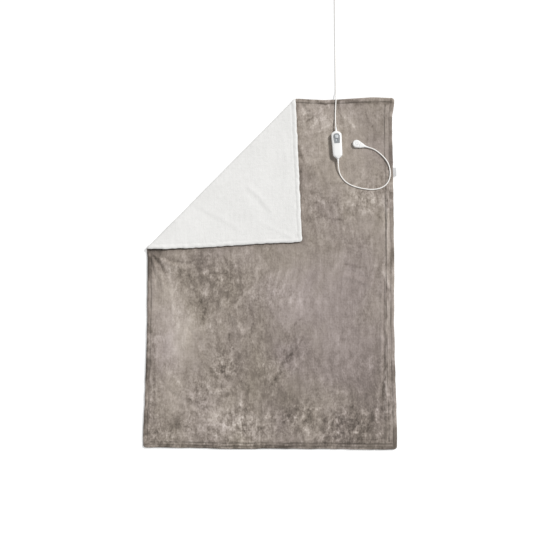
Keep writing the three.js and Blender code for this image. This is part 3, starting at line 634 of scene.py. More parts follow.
def lying_things(x, y):
    """How far each place is from what lies on the plush: the control, the plug and the cords."""
    over_throw = (LOOP_LEAD, MAINS_LEAD[:MAINS_OVER_THROW])
    cords = [way_to(x, y, [p[:2] for p in points]) - CORD_CLEAR for points in over_throw]
    cx, cy = x - CONTROL_CENTRE[0], y - CONTROL_CENTRE[1]
    u = cx * math.cos(CONTROL_TURN) + cy * math.sin(CONTROL_TURN)
    v = -cx * math.sin(CONTROL_TURN) + cy * math.cos(CONTROL_TURN)
    control = np.hypot(*(np.clip(np.abs(off) - half, 0, None) for off, half in zip((u, v), CONTROL_HALF)))
    tip = [c + PLUG_REACH * turn(SOCKET_TURN) for c, turn in zip(SOCKET_CENTRE, (math.cos, math.sin))]
    plug = way_to(x, y, [SOCKET_CENTRE[:2], tip]) - PLUG_HALF_WIDTH
    return np.minimum.reduce([*cords, control, plug])


def under_flap(cut):
    """How far each place is outside the area that the folded corner covers."""
    x, y = as_folded(cut)
    return np.maximum(-THROW_WIDTH / 2 - x, y - THROW_LENGTH / 2)


# Creases in the plush: height, half width, and the line along which each runs, in millimetres
PLUSH_CREASES = read_lines([
    (-3.2, 11, 135, -325, 100, -380, 58, -470, 20, -560, -14, -631),
    (3.2, 14, 150, -345, 115, -400, 73, -490, 30, -590), (4, 6, -300, -619, -237, -611, -177, -620),
    (-3.6, 7, -610, 75, -563, 18, -506, -40), (3.6, 8, -612, 55, -580, -5, -548, -75),
    (-3.6, 6, -617, 40, -595, -30, -575, -100), (3.6, 8, -585, 62, -520, 24, -440, -2),
    (-3.2, 7, -570, 66, -500, 42, -410, 26), (-3.2, 5, 160, 872, 182, 830, 207, 790),
    (2.8, 6, 172, 876, 200, 840, 235, 812), (4.8, 7, 604, 360, 596, 200, 590, -100, 588, -460, 578, -860),
    (-3.6, 5, 590, 290, 580, 100, 576, -158, 573, -460, 560, -860), (3.2, 7, 575, 20, 566, -240, 558, -520),
    (-2.8, 6, 382, -14, 440, -22, 500, -51), (2.8, 8, 360, -40, 430, -52, 520, -88),
    (3.6, 9, 300, -700, 390, -745, 480, -772, 560, -790), (-3.6, 7, 270, -722, 370, -770, 470, -800),
    (3.2, 8, -150, -690, -60, -740, 50, -762), (-2.8, 6, -420, -300, -360, -360, -330, -450),
    (2.8, 10, -250, -180, -170, -260, -150, -380),
    (-2.8, 8, -560, -560, -480, -640, -360, -700, -240, -720), (2.4, 8, 200, 560, 250, 470, 270, 380),
    (-2.4, 7, 380, 300, 460, 240, 540, 230),
])


def plush_rise(cut):
    """The wrinkles and pile of the plush, kept down under everything that lies on it."""
    x, y = cut.x, cut.y
    rise = 0.0011 * bumps(x, y * 0.8, 0.085, 1) + 0.0008 * bumps(x, y * 0.7, 0.036, 2)
    rise += 0.00045 * bumps(x, y * 0.6, 0.018, 3)
    wander = 0.004 * bumps(x, y, 0.03, 4)
    for height, half_width, line in PLUSH_CREASES:
        rise += height / 1000 * hump(way_to(x, y, line) + wander, half_width)
    rise *= ease((cut.inset - 0.004) / 0.03)
    free = np.minimum.reduce([lying_things(x, y), under_flap(cut) - 0.004, -0.006 - cut.past])
    return np.minimum(rise, 0.12 * np.clip(free, 0, None))


# Where the pile differs: centre and radii in millimetres, and how much lighter, more crushed and more mauve it
# is there, in hundredths. The dark rows at the two ends of the fold and along the edges and hems are painted
# shade.
BRUSHED_AND_SHADED = [
    (330, 620, 240, 340, 11, -10, 0), (240, 780, 100, 120, 5, 50, 0), (470, 360, 120, 100, 8, 30, 0),
    (-470, -360, 100, 260, 20, -30, 0), (-500, -100, 80, 120, 10, 0, 0), (-360, -60, 90, 120, -9, 30, 0),
    (-300, -300, 80, 100, 6, 20, 0), (-200, -170, 170, 170, -2, 50, 0), (-250, -520, 130, 150, -3, 60, 0),
    (-530, -420, 80, 120, 2, 0, 22), (-160, -770, 160, 70, 16, 60, 12), (-330, -720, 140, 80, 7, 40, 0),
    (-590, -700, 50, 200, -12, 40, 0), (-500, -800, 120, 90, -6, 40, 0), (-100, -500, 180, 130, -10, 20, 0),
    (120, -680, 140, 100, -14, 30, 0), (60, -600, 50, 90, -6, 20, 0), (420, -780, 120, 120, -20, 70, 0),
    (520, -580, 90, 200, -13, 10, 10), (300, -520, 200, 100, -6, -10, 10), (140, -100, 90, 200, 9, -20, 10),
    (360, -280, 260, 400, 0, -35, 28), (100, -420, 80, 70, -5, 20, 25), (200, -780, 300, 80, -3, 70, 0),
    (592, -200, 16, 700, 14, 0, 0), (577, -500, 8, 450, -20, 30, 0), (605, 330, 20, 100, 16, 30, 0),
    (-590, 50, 50, 30, -22, 20, 0), (-615, 70, 30, 30, -25, 0, 0), (155, 885, 14, 12, -40, 0, 0),
    (0, -885, 700, 14, -16, 50, 0), (400, -860, 180, 16, -14, 50, 0), (400, 890, 400, 12, -30, 30, 0),
    (-628, -350, 8, 500, -25, 30, 0),
]
# Single strokes in the pile, some of them painted highlights and shade beside its creases and hems: how much
# lighter in hundredths, and in millimetres a half width and a line
NAP_AND_SHADE_STROKES = read_lines([
    (-10, 9.5, 164, -348, 123, -410, 68, -485, 10, -572, -27, -639),
    (10, 7.7, 204, -373, 163, -435, 103, -522, 48, -589), (-10, 5.1, 93, -335, 123, -280, 161, -249),
    (-14, 6.6, -410, -36, -389, -107, -357, -163, -332, -209, -341, -272),
    (10, 5.6, -371, -61, -343, -120, -312, -176),
    (-12, 5.1, -306, -221, -276, -259, -285, -315, -254, -373),
    (-13, 5.6, -204, -335, -214, -385, -166, -423, -133, -465),
    (16, 4.1, -307, -604, -265, -614, -227, -609, -187, -617),
    (-12, 4.6, -302, -629, -247, -636, -190, -639), (12, 5.6, -167, -259, -141, -310, -149, -365),
    (-12, 6.1, -109, -183, -91, -259, -103, -335, -88, -398), (8, 8.9, -48, -259, -33, -348, -48, -435),
    (-10, 6.6, -253, -485, -228, -535, -238, -584),
    (-14, 6.6, -178, -522, -148, -560, -103, -584, -112, -629),
    (10, 6.1, -213, -485, -183, -500, -148, -500),
    (-14, 6.1, -402, -654, -327, -683, -239, -720, -139, -752, -47, -801),
    (10, 7.7, -326, -708, -226, -752, -102, -806), (12, 7.7, -27, -732, 72, -762, 159, -796),
    (-16, 5.6, 47, -720, 134, -752, 226, -781), (13, 5.6, 122, -683, 197, -703, 259, -696),
    (13, 5.1, 346, -732, 434, -713, 496, -720), (-14, 7.7, 398, -584, 411, -683, 395, -781),
    (14, 5.6, 310, -646, 326, -708, 336, -776), (18, 4.6, 548, -584, 536, -683, 525, -781),
    (-20, 4.6, 568, -560, 561, -683, 549, -806), (14, 4.6, 258, -830, 370, -811, 469, -825, 569, -823),
    (-16, 3.8, 221, -850, 345, -840, 469, -850, 593, -845), (14, 5.6, 166, 804, 200, 826, 236, 836),
    (-10, 5.6, 184, 777, 226, 799, 268, 815), (13, 6.1, 210, 745, 257, 783, 299, 799),
    (16, 5.1, 251, 724, 288, 750, 314, 756), (-12, 5.6, 230, 708, 272, 718, 298, 708),
    (12, 6.1, 361, 809, 413, 783, 444, 734), (-10, 6.6, 492, 823, 530, 756, 542, 675),
    (-12, 6.6, 139, 649, 165, 569, 152, 476), (10, 7.7, 409, 397, 475, 363, 562, 332),
    (-14, 7.1, 447, 332, 523, 306, 574, 254), (12, 6.1, 563, 371, 593, 306, 602, 228),
    (-10, 5.6, 293, 450, 358, 437, 422, 458), (9, 7.7, 203, 358, 305, 342, 382, 306),
    (-10, 6.1, 164, 254, 266, 274, 382, 254), (-12, 5.1, 379, 26, 417, 16, 481, 5),
    (8, 6.6, 404, -10, 460, -25, 506, -36), (-12, 7.7, -232, 59, -207, 16, -196, -43),
    (-16, 5.6, -595, 72, -569, 31, -537, -20), (12, 5.1, -574, 67, -548, 26, -512, -15),
    (-12, 5.6, -513, 47, -436, 31, -360, 52), (10, 7.7, -485, -82, -468, -209, -476, -335),
    (-14, 5.1, -596, -385, -584, -535, -586, -683), (8, 7.7, -529, -485, -466, -560, -427, -634),
    (-10, 5.6, -526, -683, -475, -757, -400, -806),
])


def plush_marks(cut):
    """How light, crushed, mauve and stitched the plush is at each place. Its lightness also carries painted
    shade and highlights at creases, crinkles, edges and the fold, and its stitch lines carry painted shade.
    """
    x = cut.x + 0.025 * bumps(cut.x, cut.y, 0.06, 31) + 0.010 * bumps(cut.x, cut.y, 0.022, 32)
    y = cut.y + 0.030 * bumps(cut.x, cut.y, 0.07, 33) + 0.010 * bumps(cut.x, cut.y, 0.022, 34)
    nap_and_shade = 0.050 * bumps(x, y, 0.16, 35) + 0.035 * bumps(x, y, 0.07, 30)
    crush = 0.42 + 0.40 * bumps(x, y, 0.12, 36)
    mauve = np.zeros_like(x)
    for row in BRUSHED_AND_SHADED:
        cx, cy, rx, ry = metres(*row[:4])
        near = 0.01 * hump(x - cx, rx) * hump(y - cy, ry)
        nap_and_shade, crush, mauve = (value + change * near for value, change in zip((nap_and_shade, crush, mauve), row[4:]))
    wander_x = cut.x + 0.006 * bumps(cut.x, cut.y, 0.035, 39)
    wander_y = cut.y + 0.006 * bumps(cut.x, cut.y, 0.035, 40)
    for lighter, half_width, line in NAP_AND_SHADE_STROKES:
        near = hump(way_to(wander_x, wander_y, line), half_width)
        nap_and_shade, crush = nap_and_shade + 0.01 * lighter * near, crush + 0.4 * near
    # crushed plush has short curved crinkles, each painted as a highlight line beside a shade line
    ridge = bumps(wander_x, wander_y, 0.042, 41)
    nap_and_shade = nap_and_shade + 0.24 * (hump(ridge - 0.13, 0.11) - hump(ridge + 0.13, 0.11)) * np.clip(crush - 0.45, 0, 0.55)
    # the shadow under the folded corner's edge is darkest beside the fold
    beside_flap = hump(np.clip(under_flap(cut), 0, None), 0.016) * (cut.past < -0.004)
    nap_and_shade = nap_and_shade - beside_flap * (0.12 + 0.55 * hump(cut.x - FOLD_SIDE[0], 0.20))
    # painted shade on the rims of the other three edges, where they roll down, in patches
    rim = hump(cut.inset, 0.017) * (cut.head > 0.1) * (cut.past < 0)
    nap_and_shade = nap_and_shade - 0.30 * rim * ease(0.45 + 1.4 * bumps(cut.x, cut.y, 0.075, 42))
    # painted shade along the stitch lines, broken along them and fainter up the right-hand edge
    broken = 0.48 + 0.50 * bumps(cut.x, cut.y, 0.045, 37)
    seam_shade = broken * (1 - 0.6 * ease(1 - cut.right / 0.06) * ease((cut.y + 0.2) / 0.4)) * cut.stitches(0.0026)
    return {"nap_and_shade": nap_and_shade, "crush": np.clip(crush, 0.15, 2.0), "mauve": mauve, "seam_shade": seam_shade}


def plush_upper(cut):
    pucker = 0.7 + 0.5 * bumps(cut.x, cut.y, 0.03, 9)
    seams = 0.0020 * pucker * cut.stitches(0.0034)
    free = np.minimum(lying_things(cut.x, cut.y), under_flap(cut))
    hem = 0.0012 * ease(1 - cut.inset / 0.05) * ease((free - 0.002) / 0.01)
    rise = np.clip(plush_rise(cut), -0.0024, 0.005)
    # inside the bend the face is level right to its ends, so that it opens into an even ridge
    level = ease(cut.past / 0.003) * ease((FOLD_USES - cut.past) / 0.003)
    return PLUSH_FACES[1] + (rise + hem - seams - lip(cut.inset, 0.0040, 0.009)) * (1 - level)


def plush_under(cut):
    """Inside the hem the plush comes down to the fleece."""
    down = PLUSH_FACES[0] - 0.0047
    return PLUSH_FACES[0] - down * (1 - ease((cut.inset - 0.004) / 0.0075))


# Creases in the folded corner's fleece, placed as it lies: height, half width and line, in millimetres
FLAP_CREASES = read_lines([
    (1.5, 14.3, -110, 420, -54, 371, -27, 338, 0, 300), (-1.05, 15.6, -128, 405, -72, 355, -30, 300),
    (0.9, 16.9, -420, 345, -354, 314, -259, 262, -159, 205), (-0.75, 15.6, -410, 325, -300, 262, -180, 195),
    (0.9, 13, -484, 238, -420, 262, -361, 283), (1.05, 11.7, -60, 245, 30, 198, 109, 163),
    (0.825, 13, -209, 450, -160, 466, -127, 471), (0.75, 13, 60, 700, 85, 560, 78, 440),
])
ROLL_AT = (-0.56, 0.105)  # where the hem of the folded corner is thickest, beside the fold


def as_folded(cut):
    """Where places past the fold lie once the corner is folded over."""
    step = FOLD_USES - 2 * cut.past
    return cut.x + FOLD_OUT[0] * step, cut.y + FOLD_OUT[1] * step


def free_fleece(cut):
    """0 where the fleece lies on the floor and 1 where it faces up."""
    return ease((cut.past - 0.2 * FOLD_USES) / (0.4 * FOLD_USES))


def fleece_rise(cut):
    """The fleece's outer face puffs out between its hems where it is free."""
    x, y = cut.x, cut.y
    rise = 0.0010 * bumps(x, y, 0.11, 5) + 0.0005 * bumps(x, y, 0.045, 6) + 0.00025 * bumps(x, y, 0.014, 7)
    lying_x, lying_y = as_folded(cut)
    for height, half_width, line in FLAP_CREASES:
        rise += height / 1000 * hump(way_to(lying_x, lying_y, line), half_width)
    rise += 0.0040 * hump(lying_x - ROLL_AT[0], 0.11) * hump(lying_y - ROLL_AT[1], 0.03)
    pucker = 0.0011 * bumps(x, y, 0.016, 8) * hump(cut.inset - 0.012, 0.018)
    hem = 0.0012 * np.sin(np.clip(cut.inset / 0.022, 0, 1) * math.pi)
    return (rise + pucker + hem) * free_fleece(cut)


def fleece_marks(cut):
    # a faint painted shade along the stitch lines, broken along them
    broken = 0.05 + 0.05 * bumps(cut.x, cut.y, 0.03, 38)
    return {"seam_shade": broken * cut.stitches(0.0030)}


def fleece_under(cut):
    seams = 0.0005 * cut.stitches(0.0050) * free_fleece(cut)
    return FLEECE_FACES[0] - fleece_rise(cut) + seams + lip(cut.inset, 0.0022, 0.008)


def fleece_upper(cut):
    return np.full_like(cut.x, FLEECE_FACES[1])


def make_cloth(cloth, cad_body, steps, shape):
    """One cloth of the throw in three pieces: its body, the bend of the fold and the folded corner. steps are
    their grids' steps and shape is what cloth_piece takes."""
    body, fold, corner = (
        paint(cloth_piece(f"{cloth}_cloth_{region}", region, step, *shape), FINISHES[cloth])
        for region, step in zip(REGIONS, steps))
    for piece, node in ((body, cad_body), (fold, f"{cloth}_fold"), (corner, f"{cloth}_corner")):
        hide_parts(node)
    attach(body, "throw")
    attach(corner, "folded_corner")
    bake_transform(fold)


def make_throw():
    """The two cloths, and what is inside the bend: the heater carrier and two wires."""
    make_cloth("plush", "plush_cover", (0.007, 0.009, 0.02), (plush_upper, plush_under, plush_marks))
    make_cloth("fleece", "fleece_backing", (0.02, 0.009, 0.0075), (fleece_upper, fleece_under, fleece_marks))
    for node, slot in (("heater_carrier_fold", "nonwoven"), ("corner_wire_bend_1", "wire_sheath"),
                       ("corner_wire_bend_2", "wire_sheath")):
        piece = paint(new_object(f"{node}_soft", frame["nodes"][node].data.copy()), FINISHES[slot])
        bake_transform(piece)
        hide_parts(node)


# ---- hard pieces
MOULDED_EDGE = 32  # degrees from which an edge of a moulded piece is sharp


def placed(piece, centre, turn=0.0):
    piece.data.transform(Matrix.Translation(centre) @ Matrix.Rotation(turn, 4, "Z"))
    return piece


def section(half_width, middle, height, power, angles):
    """Points of a superellipse across a piece: round for power 2, and squarer above it."""
    c, s = np.cos(angles), np.sin(angles)
    x = half_width * np.sign(c) * np.abs(c) ** (2 / power)
    z = middle + height * np.sign(s) * np.abs(s) ** (2 / power)
    return x, z


def loft(name, stations, sides=40, sharp=40, flip=False):
    """A closed piece along y through sections: (y, half width, middle height, half height, squareness)."""
    angles = np.linspace(0, 2 * math.pi, sides, endpoint=False)
    points = []
    for y, half_width, middle, height, power in stations:
        x, z = section(half_width, middle, height, power, angles)
        points += [(a, y, b) for a, b in zip(x, z)]
    return skinned(name, points, sides, sharp, flip)


def turned(name, profile, steps=48):
    """A piece turned about z, from (radius, height) pairs that run from the top outwards and down."""
    angles = np.linspace(0, 2 * math.pi, steps, endpoint=False)
    return skinned(name, [(r * math.cos(a), r * math.sin(a), z) for r, z in profile for a in angles], steps, 45)


def cut_out(piece, cutters):
    """Removes the cutters' shapes from the piece, and the cutters."""
    for cutter in cutters:
        change = piece.modifiers.new("cut", "BOOLEAN")
        change.operation = "DIFFERENCE"
        change.solver = "EXACT"
        change.object = cutter
    bpy.context.view_layer.update()
    shape = bpy.data.meshes.new_from_object(piece.evaluated_get(bpy.context.evaluated_depsgraph_get()))
    piece.modifiers.clear()
    piece.data = shape
    for cutter in cutters:
        bpy.data.objects.remove(cutter)
    shape.shade_smooth()
    shape.set_sharp_from_angle(angle=math.radians(MOULDED_EDGE))


def prism(name, outline, low, high):
    """An upright prism on a convex outline, anticlockwise."""
    points = [(x, y, z) for z in (low, high) for x, y in outline]
    return skinned(name, points, len(outline), MOULDED_EDGE, flip=True)


def rounded(corners, steps=6):
    """A closed outline through corners given as (x, y, rounding)."""
    out = []
    for i, (x, y, rounding) in enumerate(corners):
        corner = np.array((x, y))
        before = np.array(corners[i - 1][:2]) - corner
        after = np.array(corners[(i + 1) % len(corners)][:2]) - corner
        start = corner + before / np.linalg.norm(before) * rounding
        end = corner + after / np.linalg.norm(after) * rounding
        for t in np.linspace(0, 1, steps + 1):
            out.append(tuple((1 - t) ** 2 * start + 2 * t * (1 - t) * corner + t * t * end))
    return out


def block(name, half_width, ends, rounding, faces, steps=6):
    """An upright block between two places along y and two heights, with its upright edges rounded."""
    corners = [(side * half_width, y, rounding) for side, y in zip((-1, 1, 1, -1), np.repeat(ends, 2))]
    return prism(name, rounded(corners, steps), *faces)


def circle(radius, x, y, steps=32):
    angles = np.linspace(0, 2 * math.pi, steps, endpoint=False)
    return [(x + radius * math.cos(a), y + radius * math.sin(a)) for a in angles]


def ribbed(name, start, length, radii, height, ribs, head=0.0):
    """A tapered strain relief along y with rings round it."""
    stations = []
    for t in np.linspace(0, 1, 6 * ribs + 1):
        radius = radii[1] + (radii[0] - radii[1]) * (1 - t) ** 1.7
        ring = 0.025 * (math.cos(2 * math.pi * t * ribs) - 1) * float(ease(6 * t - head) * ease(8 * (1 - t)))
        radius *= 1 + ring
        stations.append((start + length * t, radius, height, radius, 2))
    return loft(name, stations, sides=24, sharp=50, flip=length < 0)


def finish_piece(piece, slot, body, *nodes):
    paint(piece, FINISHES[slot])
    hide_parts(*nodes)
    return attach(piece, body)


# The hand control along its length: half width, how high the cover stands over the join, and the squareness
CONTROL_STATIONS = [
    (-0.073, 0.0076, 0.0084, 2.2), (-0.0705, 0.0100, 0.0092, 2.4), (-0.067, 0.0138, 0.0102, 2.8),
    (-0.063, 0.0182, 0.0110, 3.2), (-0.058, 0.0220, 0.0116, 3.6), (-0.050, 0.0245, 0.0120, 3.8),
    (-0.038, 0.0252, 0.0122, 3.8), (-0.010, 0.0255, 0.0122, 3.8), (0.018, 0.0264, 0.0122, 3.8),
    (0.036, 0.0271, 0.0122, 3.8), (0.050, 0.0270, 0.0121, 3.8), (0.058, 0.0252, 0.0117, 3.6),
    (0.064, 0.0216, 0.0111, 3.2), (0.0685, 0.0164, 0.0102, 2.8), (0.071, 0.0122, 0.0094, 2.4),
    (0.073, 0.0088, 0.0086, 2.2),
]
CONTROL_JOIN = 0.01215
CONTROL_WALL = 0.0022
JOIN_GAP = 0.00015
SCREWS = [(-0.021, 0.038), (0.021, 0.038), (-0.020, -0.046), (0.020, -0.046)]
WINDOW_CORNERS = [
    (-0.0140, 0.0062, 0.002), (0.0140, 0.0062, 0.002), (0.0182, 0.0420, 0.004), (0.0132, 0.0592, 0.011),
    (-0.0132, 0.0592, 0.011), (-0.0182, 0.0420, 0.004),
]
WINDOW_MIDDLE = 0.033
CONTROL_BLOCKS = {  # half width, ends, rounding and faces
    "slot": (0.004, (0.019, 0.047), 0.0015, (0.02, 0.03)),
    "channel": (0.0098, (0.0125, 0.0535), 0.003, (0.0229, 0.03)),
    "slide_shutter": (0.0052, (0.0185, 0.0655), 0.001, (0.0194, 0.0204)),
    "slide_knob_stem": (0.003, (0.038, 0.046), 0.0005, (0.0163, 0.0240)),
}


def control_half(name, sign, groove):
    """Half of the hand control's shell: an arch along its length, over the join or under it."""
    angles = np.linspace(0, math.pi, 41)
    points = []
    for y, half_width, height, power in smooth_line(CONTROL_STATIONS, 0.0022):
        rise = height - JOIN_GAP
        x, z = section(half_width, 0, rise, power, angles)
        z = z - groove * hump(np.abs(x) / half_width - 0.76, 0.030) * (np.abs(z) > 0.6 * rise)
        inner_x, inner_z = section(half_width - CONTROL_WALL, 0, rise - CONTROL_WALL, power, angles)
        ring = [*zip(x, z), *zip(inner_x[::-1], inner_z[::-1])]
        points += [(a, y, CONTROL_JOIN + sign * (JOIN_GAP + b)) for a, b in ring]
    arch = len(angles)
    rings = np.arange(len(points)).reshape(-1, 2 * arch)
    faces = [face for low, high in zip(rings, rings[1:]) for face in strip(high, low, closed=True)]
    faces += strip(rings[0][:arch], rings[0][:arch - 1:-1])
    faces += strip(rings[-1][:arch - 1:-1], rings[-1][:arch])
    return new_mesh(name, points, faces if sign > 0 else [face[::-1] for face in faces], MOULDED_EDGE)


def make_knob():
    """The slide knob: a ribbed back, rounded off at its ends."""
    stations = []
    for t in np.linspace(0, 1, 33):
        off = abs(2 * t - 1)
        round_off = (1 - off ** 5) ** 0.5
        ridge = 0.00025 * math.cos(2 * math.pi * t * 7) * float(ease(3 - 4 * off))
        half = 0.00035 + 0.00135 * (1 - 0.55 * off ** 2) * round_off
        stations.append((0.0325 + 0.019 * t, 0.002 + 0.0065 * round_off, 0.0236 + half, half + ridge, 3.0))
    return loft("slide_knob", stations, sides=48, sharp=60)


def make_control():
    """The hand control's shells, its window with the sliding knob, and its two strain reliefs."""
    cover = control_half("control_cover_shell", 1, 0.0008)
    cut_out(cover, [prism("window_hole", rounded(WINDOW_CORNERS), 0.016, 0.03)])
    base = control_half("control_base_shell", -1, 0.0)
    cut_out(base, [prism("screw_hole", circle(0.0036, x, y), -0.001, 0.0029) for x, y in SCREWS])
    # the window is a little smaller than its hole
    corners = [(0.982 * x, WINDOW_MIDDLE + 0.985 * (y - WINDOW_MIDDLE), r) for x, y, r in WINDOW_CORNERS]
    window = prism("window_panel", rounded(corners, 8), 0.0211, 0.0233)
    edge = window.modifiers.new("edge", "BEVEL")
    edge.width, edge.segments = 0.0006, 3
    knob = make_knob()
    pip = turned("slide_knob_pip", [
        (0.0002, 0.0279), (0.0014, 0.0277), (0.0024, 0.0271), (0.0029, 0.0262), (0.0029, 0.0250)], 24)
    placed(pip, (0, 0.0370, 0))
    slot, channel, shutter, stem = (block(name, *sizes) for name, sizes in CONTROL_BLOCKS.items())
    cut_out(window, [channel, slot])
    for piece, material, body, *nodes in (
        (cover, "white_plastic", "throw", "control_cover"),
        (base, "white_plastic", "throw", "control_base"),
        (window, "grey_plastic", "throw", "switch_window"),
        (knob, "knob_plastic", "switch_slider", "switch_knob"),
        (stem, "knob_plastic", "switch_slider"),
        (shutter, "knob_plastic", "switch_slider"),
        (pip, "white_plastic", "switch_slider"),
        (ribbed("mains_boot", 0.0665, 0.0295, (0.0076, 0.0034), CONTROL_JOIN, 6, 1.4),
         "white_plastic", "throw", "mains_strain_relief"),
        (ribbed("lead_boot", -0.0665, -0.0335, (0.0072, 0.0034), CONTROL_JOIN, 7, 1.4),
         "white_plastic", "throw", "body_strain_relief"),
    ):
        finish_piece(placed(piece, CONTROL_CENTRE, CONTROL_TURN), material, body, *nodes)


SOCKET_RADIUS = 0.0205
SOCKET_MOUTH = 0.017
SOCKET_SHOULDER = math.radians(74)  # where the round rim runs on straight towards the mouth's corners
SOCKET_RINGS = [  # how wide and how high, from the cloth up over the edge to the button's well
    (1.0, 0.0112), (1.0, 0.0195), (0.992, 0.0213), (0.970, 0.0228), (0.935, 0.0239), (0.885, 0.0247),
    (0.80, 0.0251), (0.62, 0.0252), (0.44, 0.0252), (0.405, 0.0249), (0.390, 0.0243), (0.385, 0.0212),
]
BUTTON_RINGS = [
    (0.0001, 0.0257), (0.0030, 0.0258), (0.0050, 0.0261), (0.0063, 0.0263), (0.0071, 0.0260), (0.0076, 0.0254),
    (0.0076, 0.0238),
]


def make_socket():
    """The socket sewn into the plush, with its release button."""
    steps = 72
    points = []
    for wide, z in SOCKET_RINGS:
        flat = ease((wide - 0.5) / 0.5)
        for k in range(steps):
            angle = 2 * math.pi * (k + 0.5) / steps
            off = min(angle, 2 * math.pi - angle)
            reach = SOCKET_RADIUS / math.cos(max(0.0, SOCKET_SHOULDER - off))
            if off < math.pi / 2:
                reach = min(reach, SOCKET_MOUTH / math.cos(off))
            radius = wide * (SOCKET_RADIUS + (reach - SOCKET_RADIUS) * flat)
            points.append((radius * math.cos(angle), radius * math.sin(angle), z))
    housing = skinned("socket_shell", points, steps, 40, flip=True)
    mouth = [(-0.0115, -0.0113), (0.03, -0.0113), (0.03, 0.0113), (-0.0115, 0.0113)]
    cut_out(housing, [prism("mouth", mouth, 0.0132, 0.0198)])
    button = turned("release_cap", BUTTON_RINGS)
    for piece, body, node in (
        (housing, "throw", "socket_housing"), (button, "release_button", "release_button"),
    ):
        finish_piece(placed(piece, SOCKET_CENTRE, SOCKET_TURN), "white_plastic", body, node)


PLUG_HEIGHT = 0.0167
PLUG_STATIONS = [  # along the plug: half width, middle height, half height, squareness
    (0.0173, 0.0160, PLUG_HEIGHT, 0.0048, 3.6), (0.0180, 0.0165, PLUG_HEIGHT, 0.0053, 3.4),
    (0.0205, 0.0160, PLUG_HEIGHT, 0.0055, 3.2), (0.0250, 0.0145, PLUG_HEIGHT, 0.0055, 3.0),
    (0.0310, 0.0121, PLUG_HEIGHT, 0.0054, 2.8), (0.0370, 0.0096, PLUG_HEIGHT, 0.0053, 2.5),
    (0.0420, 0.0074, 0.0166, 0.0051, 2.2), (0.0452, 0.0060, 0.0165, 0.0049, 2.0),
]


def make_plug():
    """The plug on the loop lead: its grip, its tongue in the socket and its strain relief. Made along y, then
    turned to point along x."""
    grip = loft("plug_grip", smooth_line(PLUG_STATIONS, 0.0012), sides=56)
    tongue = block("plug_tongue", 0.011, (-0.007, 0.025), 0.0008, (0.0135, 0.0195), 3)
    boot = ribbed("plug_boot", 0.0453, 0.024, (0.0058, 0.0034), 0.0165, 5)
    for piece, node in ((grip, "plug_upper_shell"), (tongue, "plug_lower_shell"), (boot, "plug_strain_relief")):
        placed(piece, SOCKET_CENTRE, SOCKET_TURN - math.pi / 2)
        finish_piece(piece, "white_plastic", "lead_plug", node)


MAINS_PLUG_HEIGHT = 0.00685
MAINS_PLUG_STATIONS = [(y, half_width, MAINS_PLUG_HEIGHT, height, power) for y, half_width, height, power in (
    (0.0, 0.0062, 0.0050, 2.2), (0.003, 0.0078, 0.0056, 2.4), (0.010, 0.0130, 0.0063, 3.0),
    (0.018, 0.0160, 0.0061, 3.4), (0.026, 0.0168, 0.0062, 3.6), (0.0335, 0.01765, 0.00685, 4.0),
    (0.0355, 0.0174, 0.0066, 4.0), (0.036, 0.0168, 0.0060, 4.0),
)]
PIN_APART = 0.0093
PIN_RADIUS = 0.002
SLEEVE_STATIONS = [(0.0361, 0.00225), (0.0440, 0.00222), (0.0448, 0.00215), (0.0450, 0.0020)]


def rod(name, stations):
    """A round rod along y at the mains plug's height, from (y, radius) pairs."""
    return loft(name, [(y, radius, MAINS_PLUG_HEIGHT, radius, 2) for y, radius in stations], sides=24)


def make_mains_plug():
    """The flat two-pin plug that lies beside the coil, made along y and turned to point along x."""
    body = loft("mains_plug_shell", smooth_line(MAINS_PLUG_STATIONS, 0.0015), sides=64)
    relief = ribbed("mains_plug_boot", -0.0203, 0.020, (0.0034, 0.0048), MAINS_PLUG_HEIGHT, 5)
    pieces = [(body, "white_plastic", "mains_plug_body"), (relief, "white_plastic", "mains_plug_relief")]
    for k, x in enumerate((PIN_APART, -PIN_APART), start=1):
        pin = rod(f"mains_pin_{k}", [
            (0.0363 + 0.019 * t, PIN_RADIUS * (1 - 60 * max(0, t - 0.9) ** 2)) for t in np.linspace(0, 1, 21)])
        sleeve = rod(f"mains_pin_sleeve_{k}", SLEEVE_STATIONS)
        placed(pin, (x, 0, 0))
        placed(sleeve, (x, 0, 0))
        pieces += [(pin, "screw_steel", f"mains_plug_pin_{k}"), (sleeve, "dark_part")]
    for piece, material, *nodes in pieces:
        finish_piece(placed(piece, MAINS_PLUG_CENTRE, -math.pi / 2), material, "throw", *nodes)


def make_tie():
    """The strap round the coil: a flat band with rounded corners and eased edges."""
    low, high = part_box("cable_tie")
    middle = (low + high) / 2
    half_width, half_height, thick = (high.x - low.x) / 2, (high.z - low.z) / 2, 0.0012
    eased = 0.0008  # how far from each side of the band its edges start to round off
    sides = [(low.y, 1), (low.y + eased, 0), (high.y - eased, 0), (high.y, 1)]
    points = []
    for inset, rounding, way, rows in ((0, 0.005, -1, sides), (thick, 0.004, 1, sides[::-1])):
        x, z = half_width - inset, half_height - inset
        outline = rounded([(-x, -z, rounding), (x, -z, rounding), (x, z, rounding), (-x, z, rounding)], 8)
        for y, drawn in rows:
            wider, higher = 1 + 0.015 * way * drawn, 1 + 0.043 * way * drawn
            points += [(middle.x + x * wider, y, middle.z + z * higher) for x, z in outline]
    rings = [*np.arange(len(points)).reshape(2 * len(sides), -1)]
    faces = [face for one, next_one in zip(rings, rings[1:] + rings[:1])
             for face in strip(next_one, one, closed=True)]
    finish_piece(new_mesh("tie_strap", points, faces, sharp=50), "dark_part", "throw", "cable_tie")


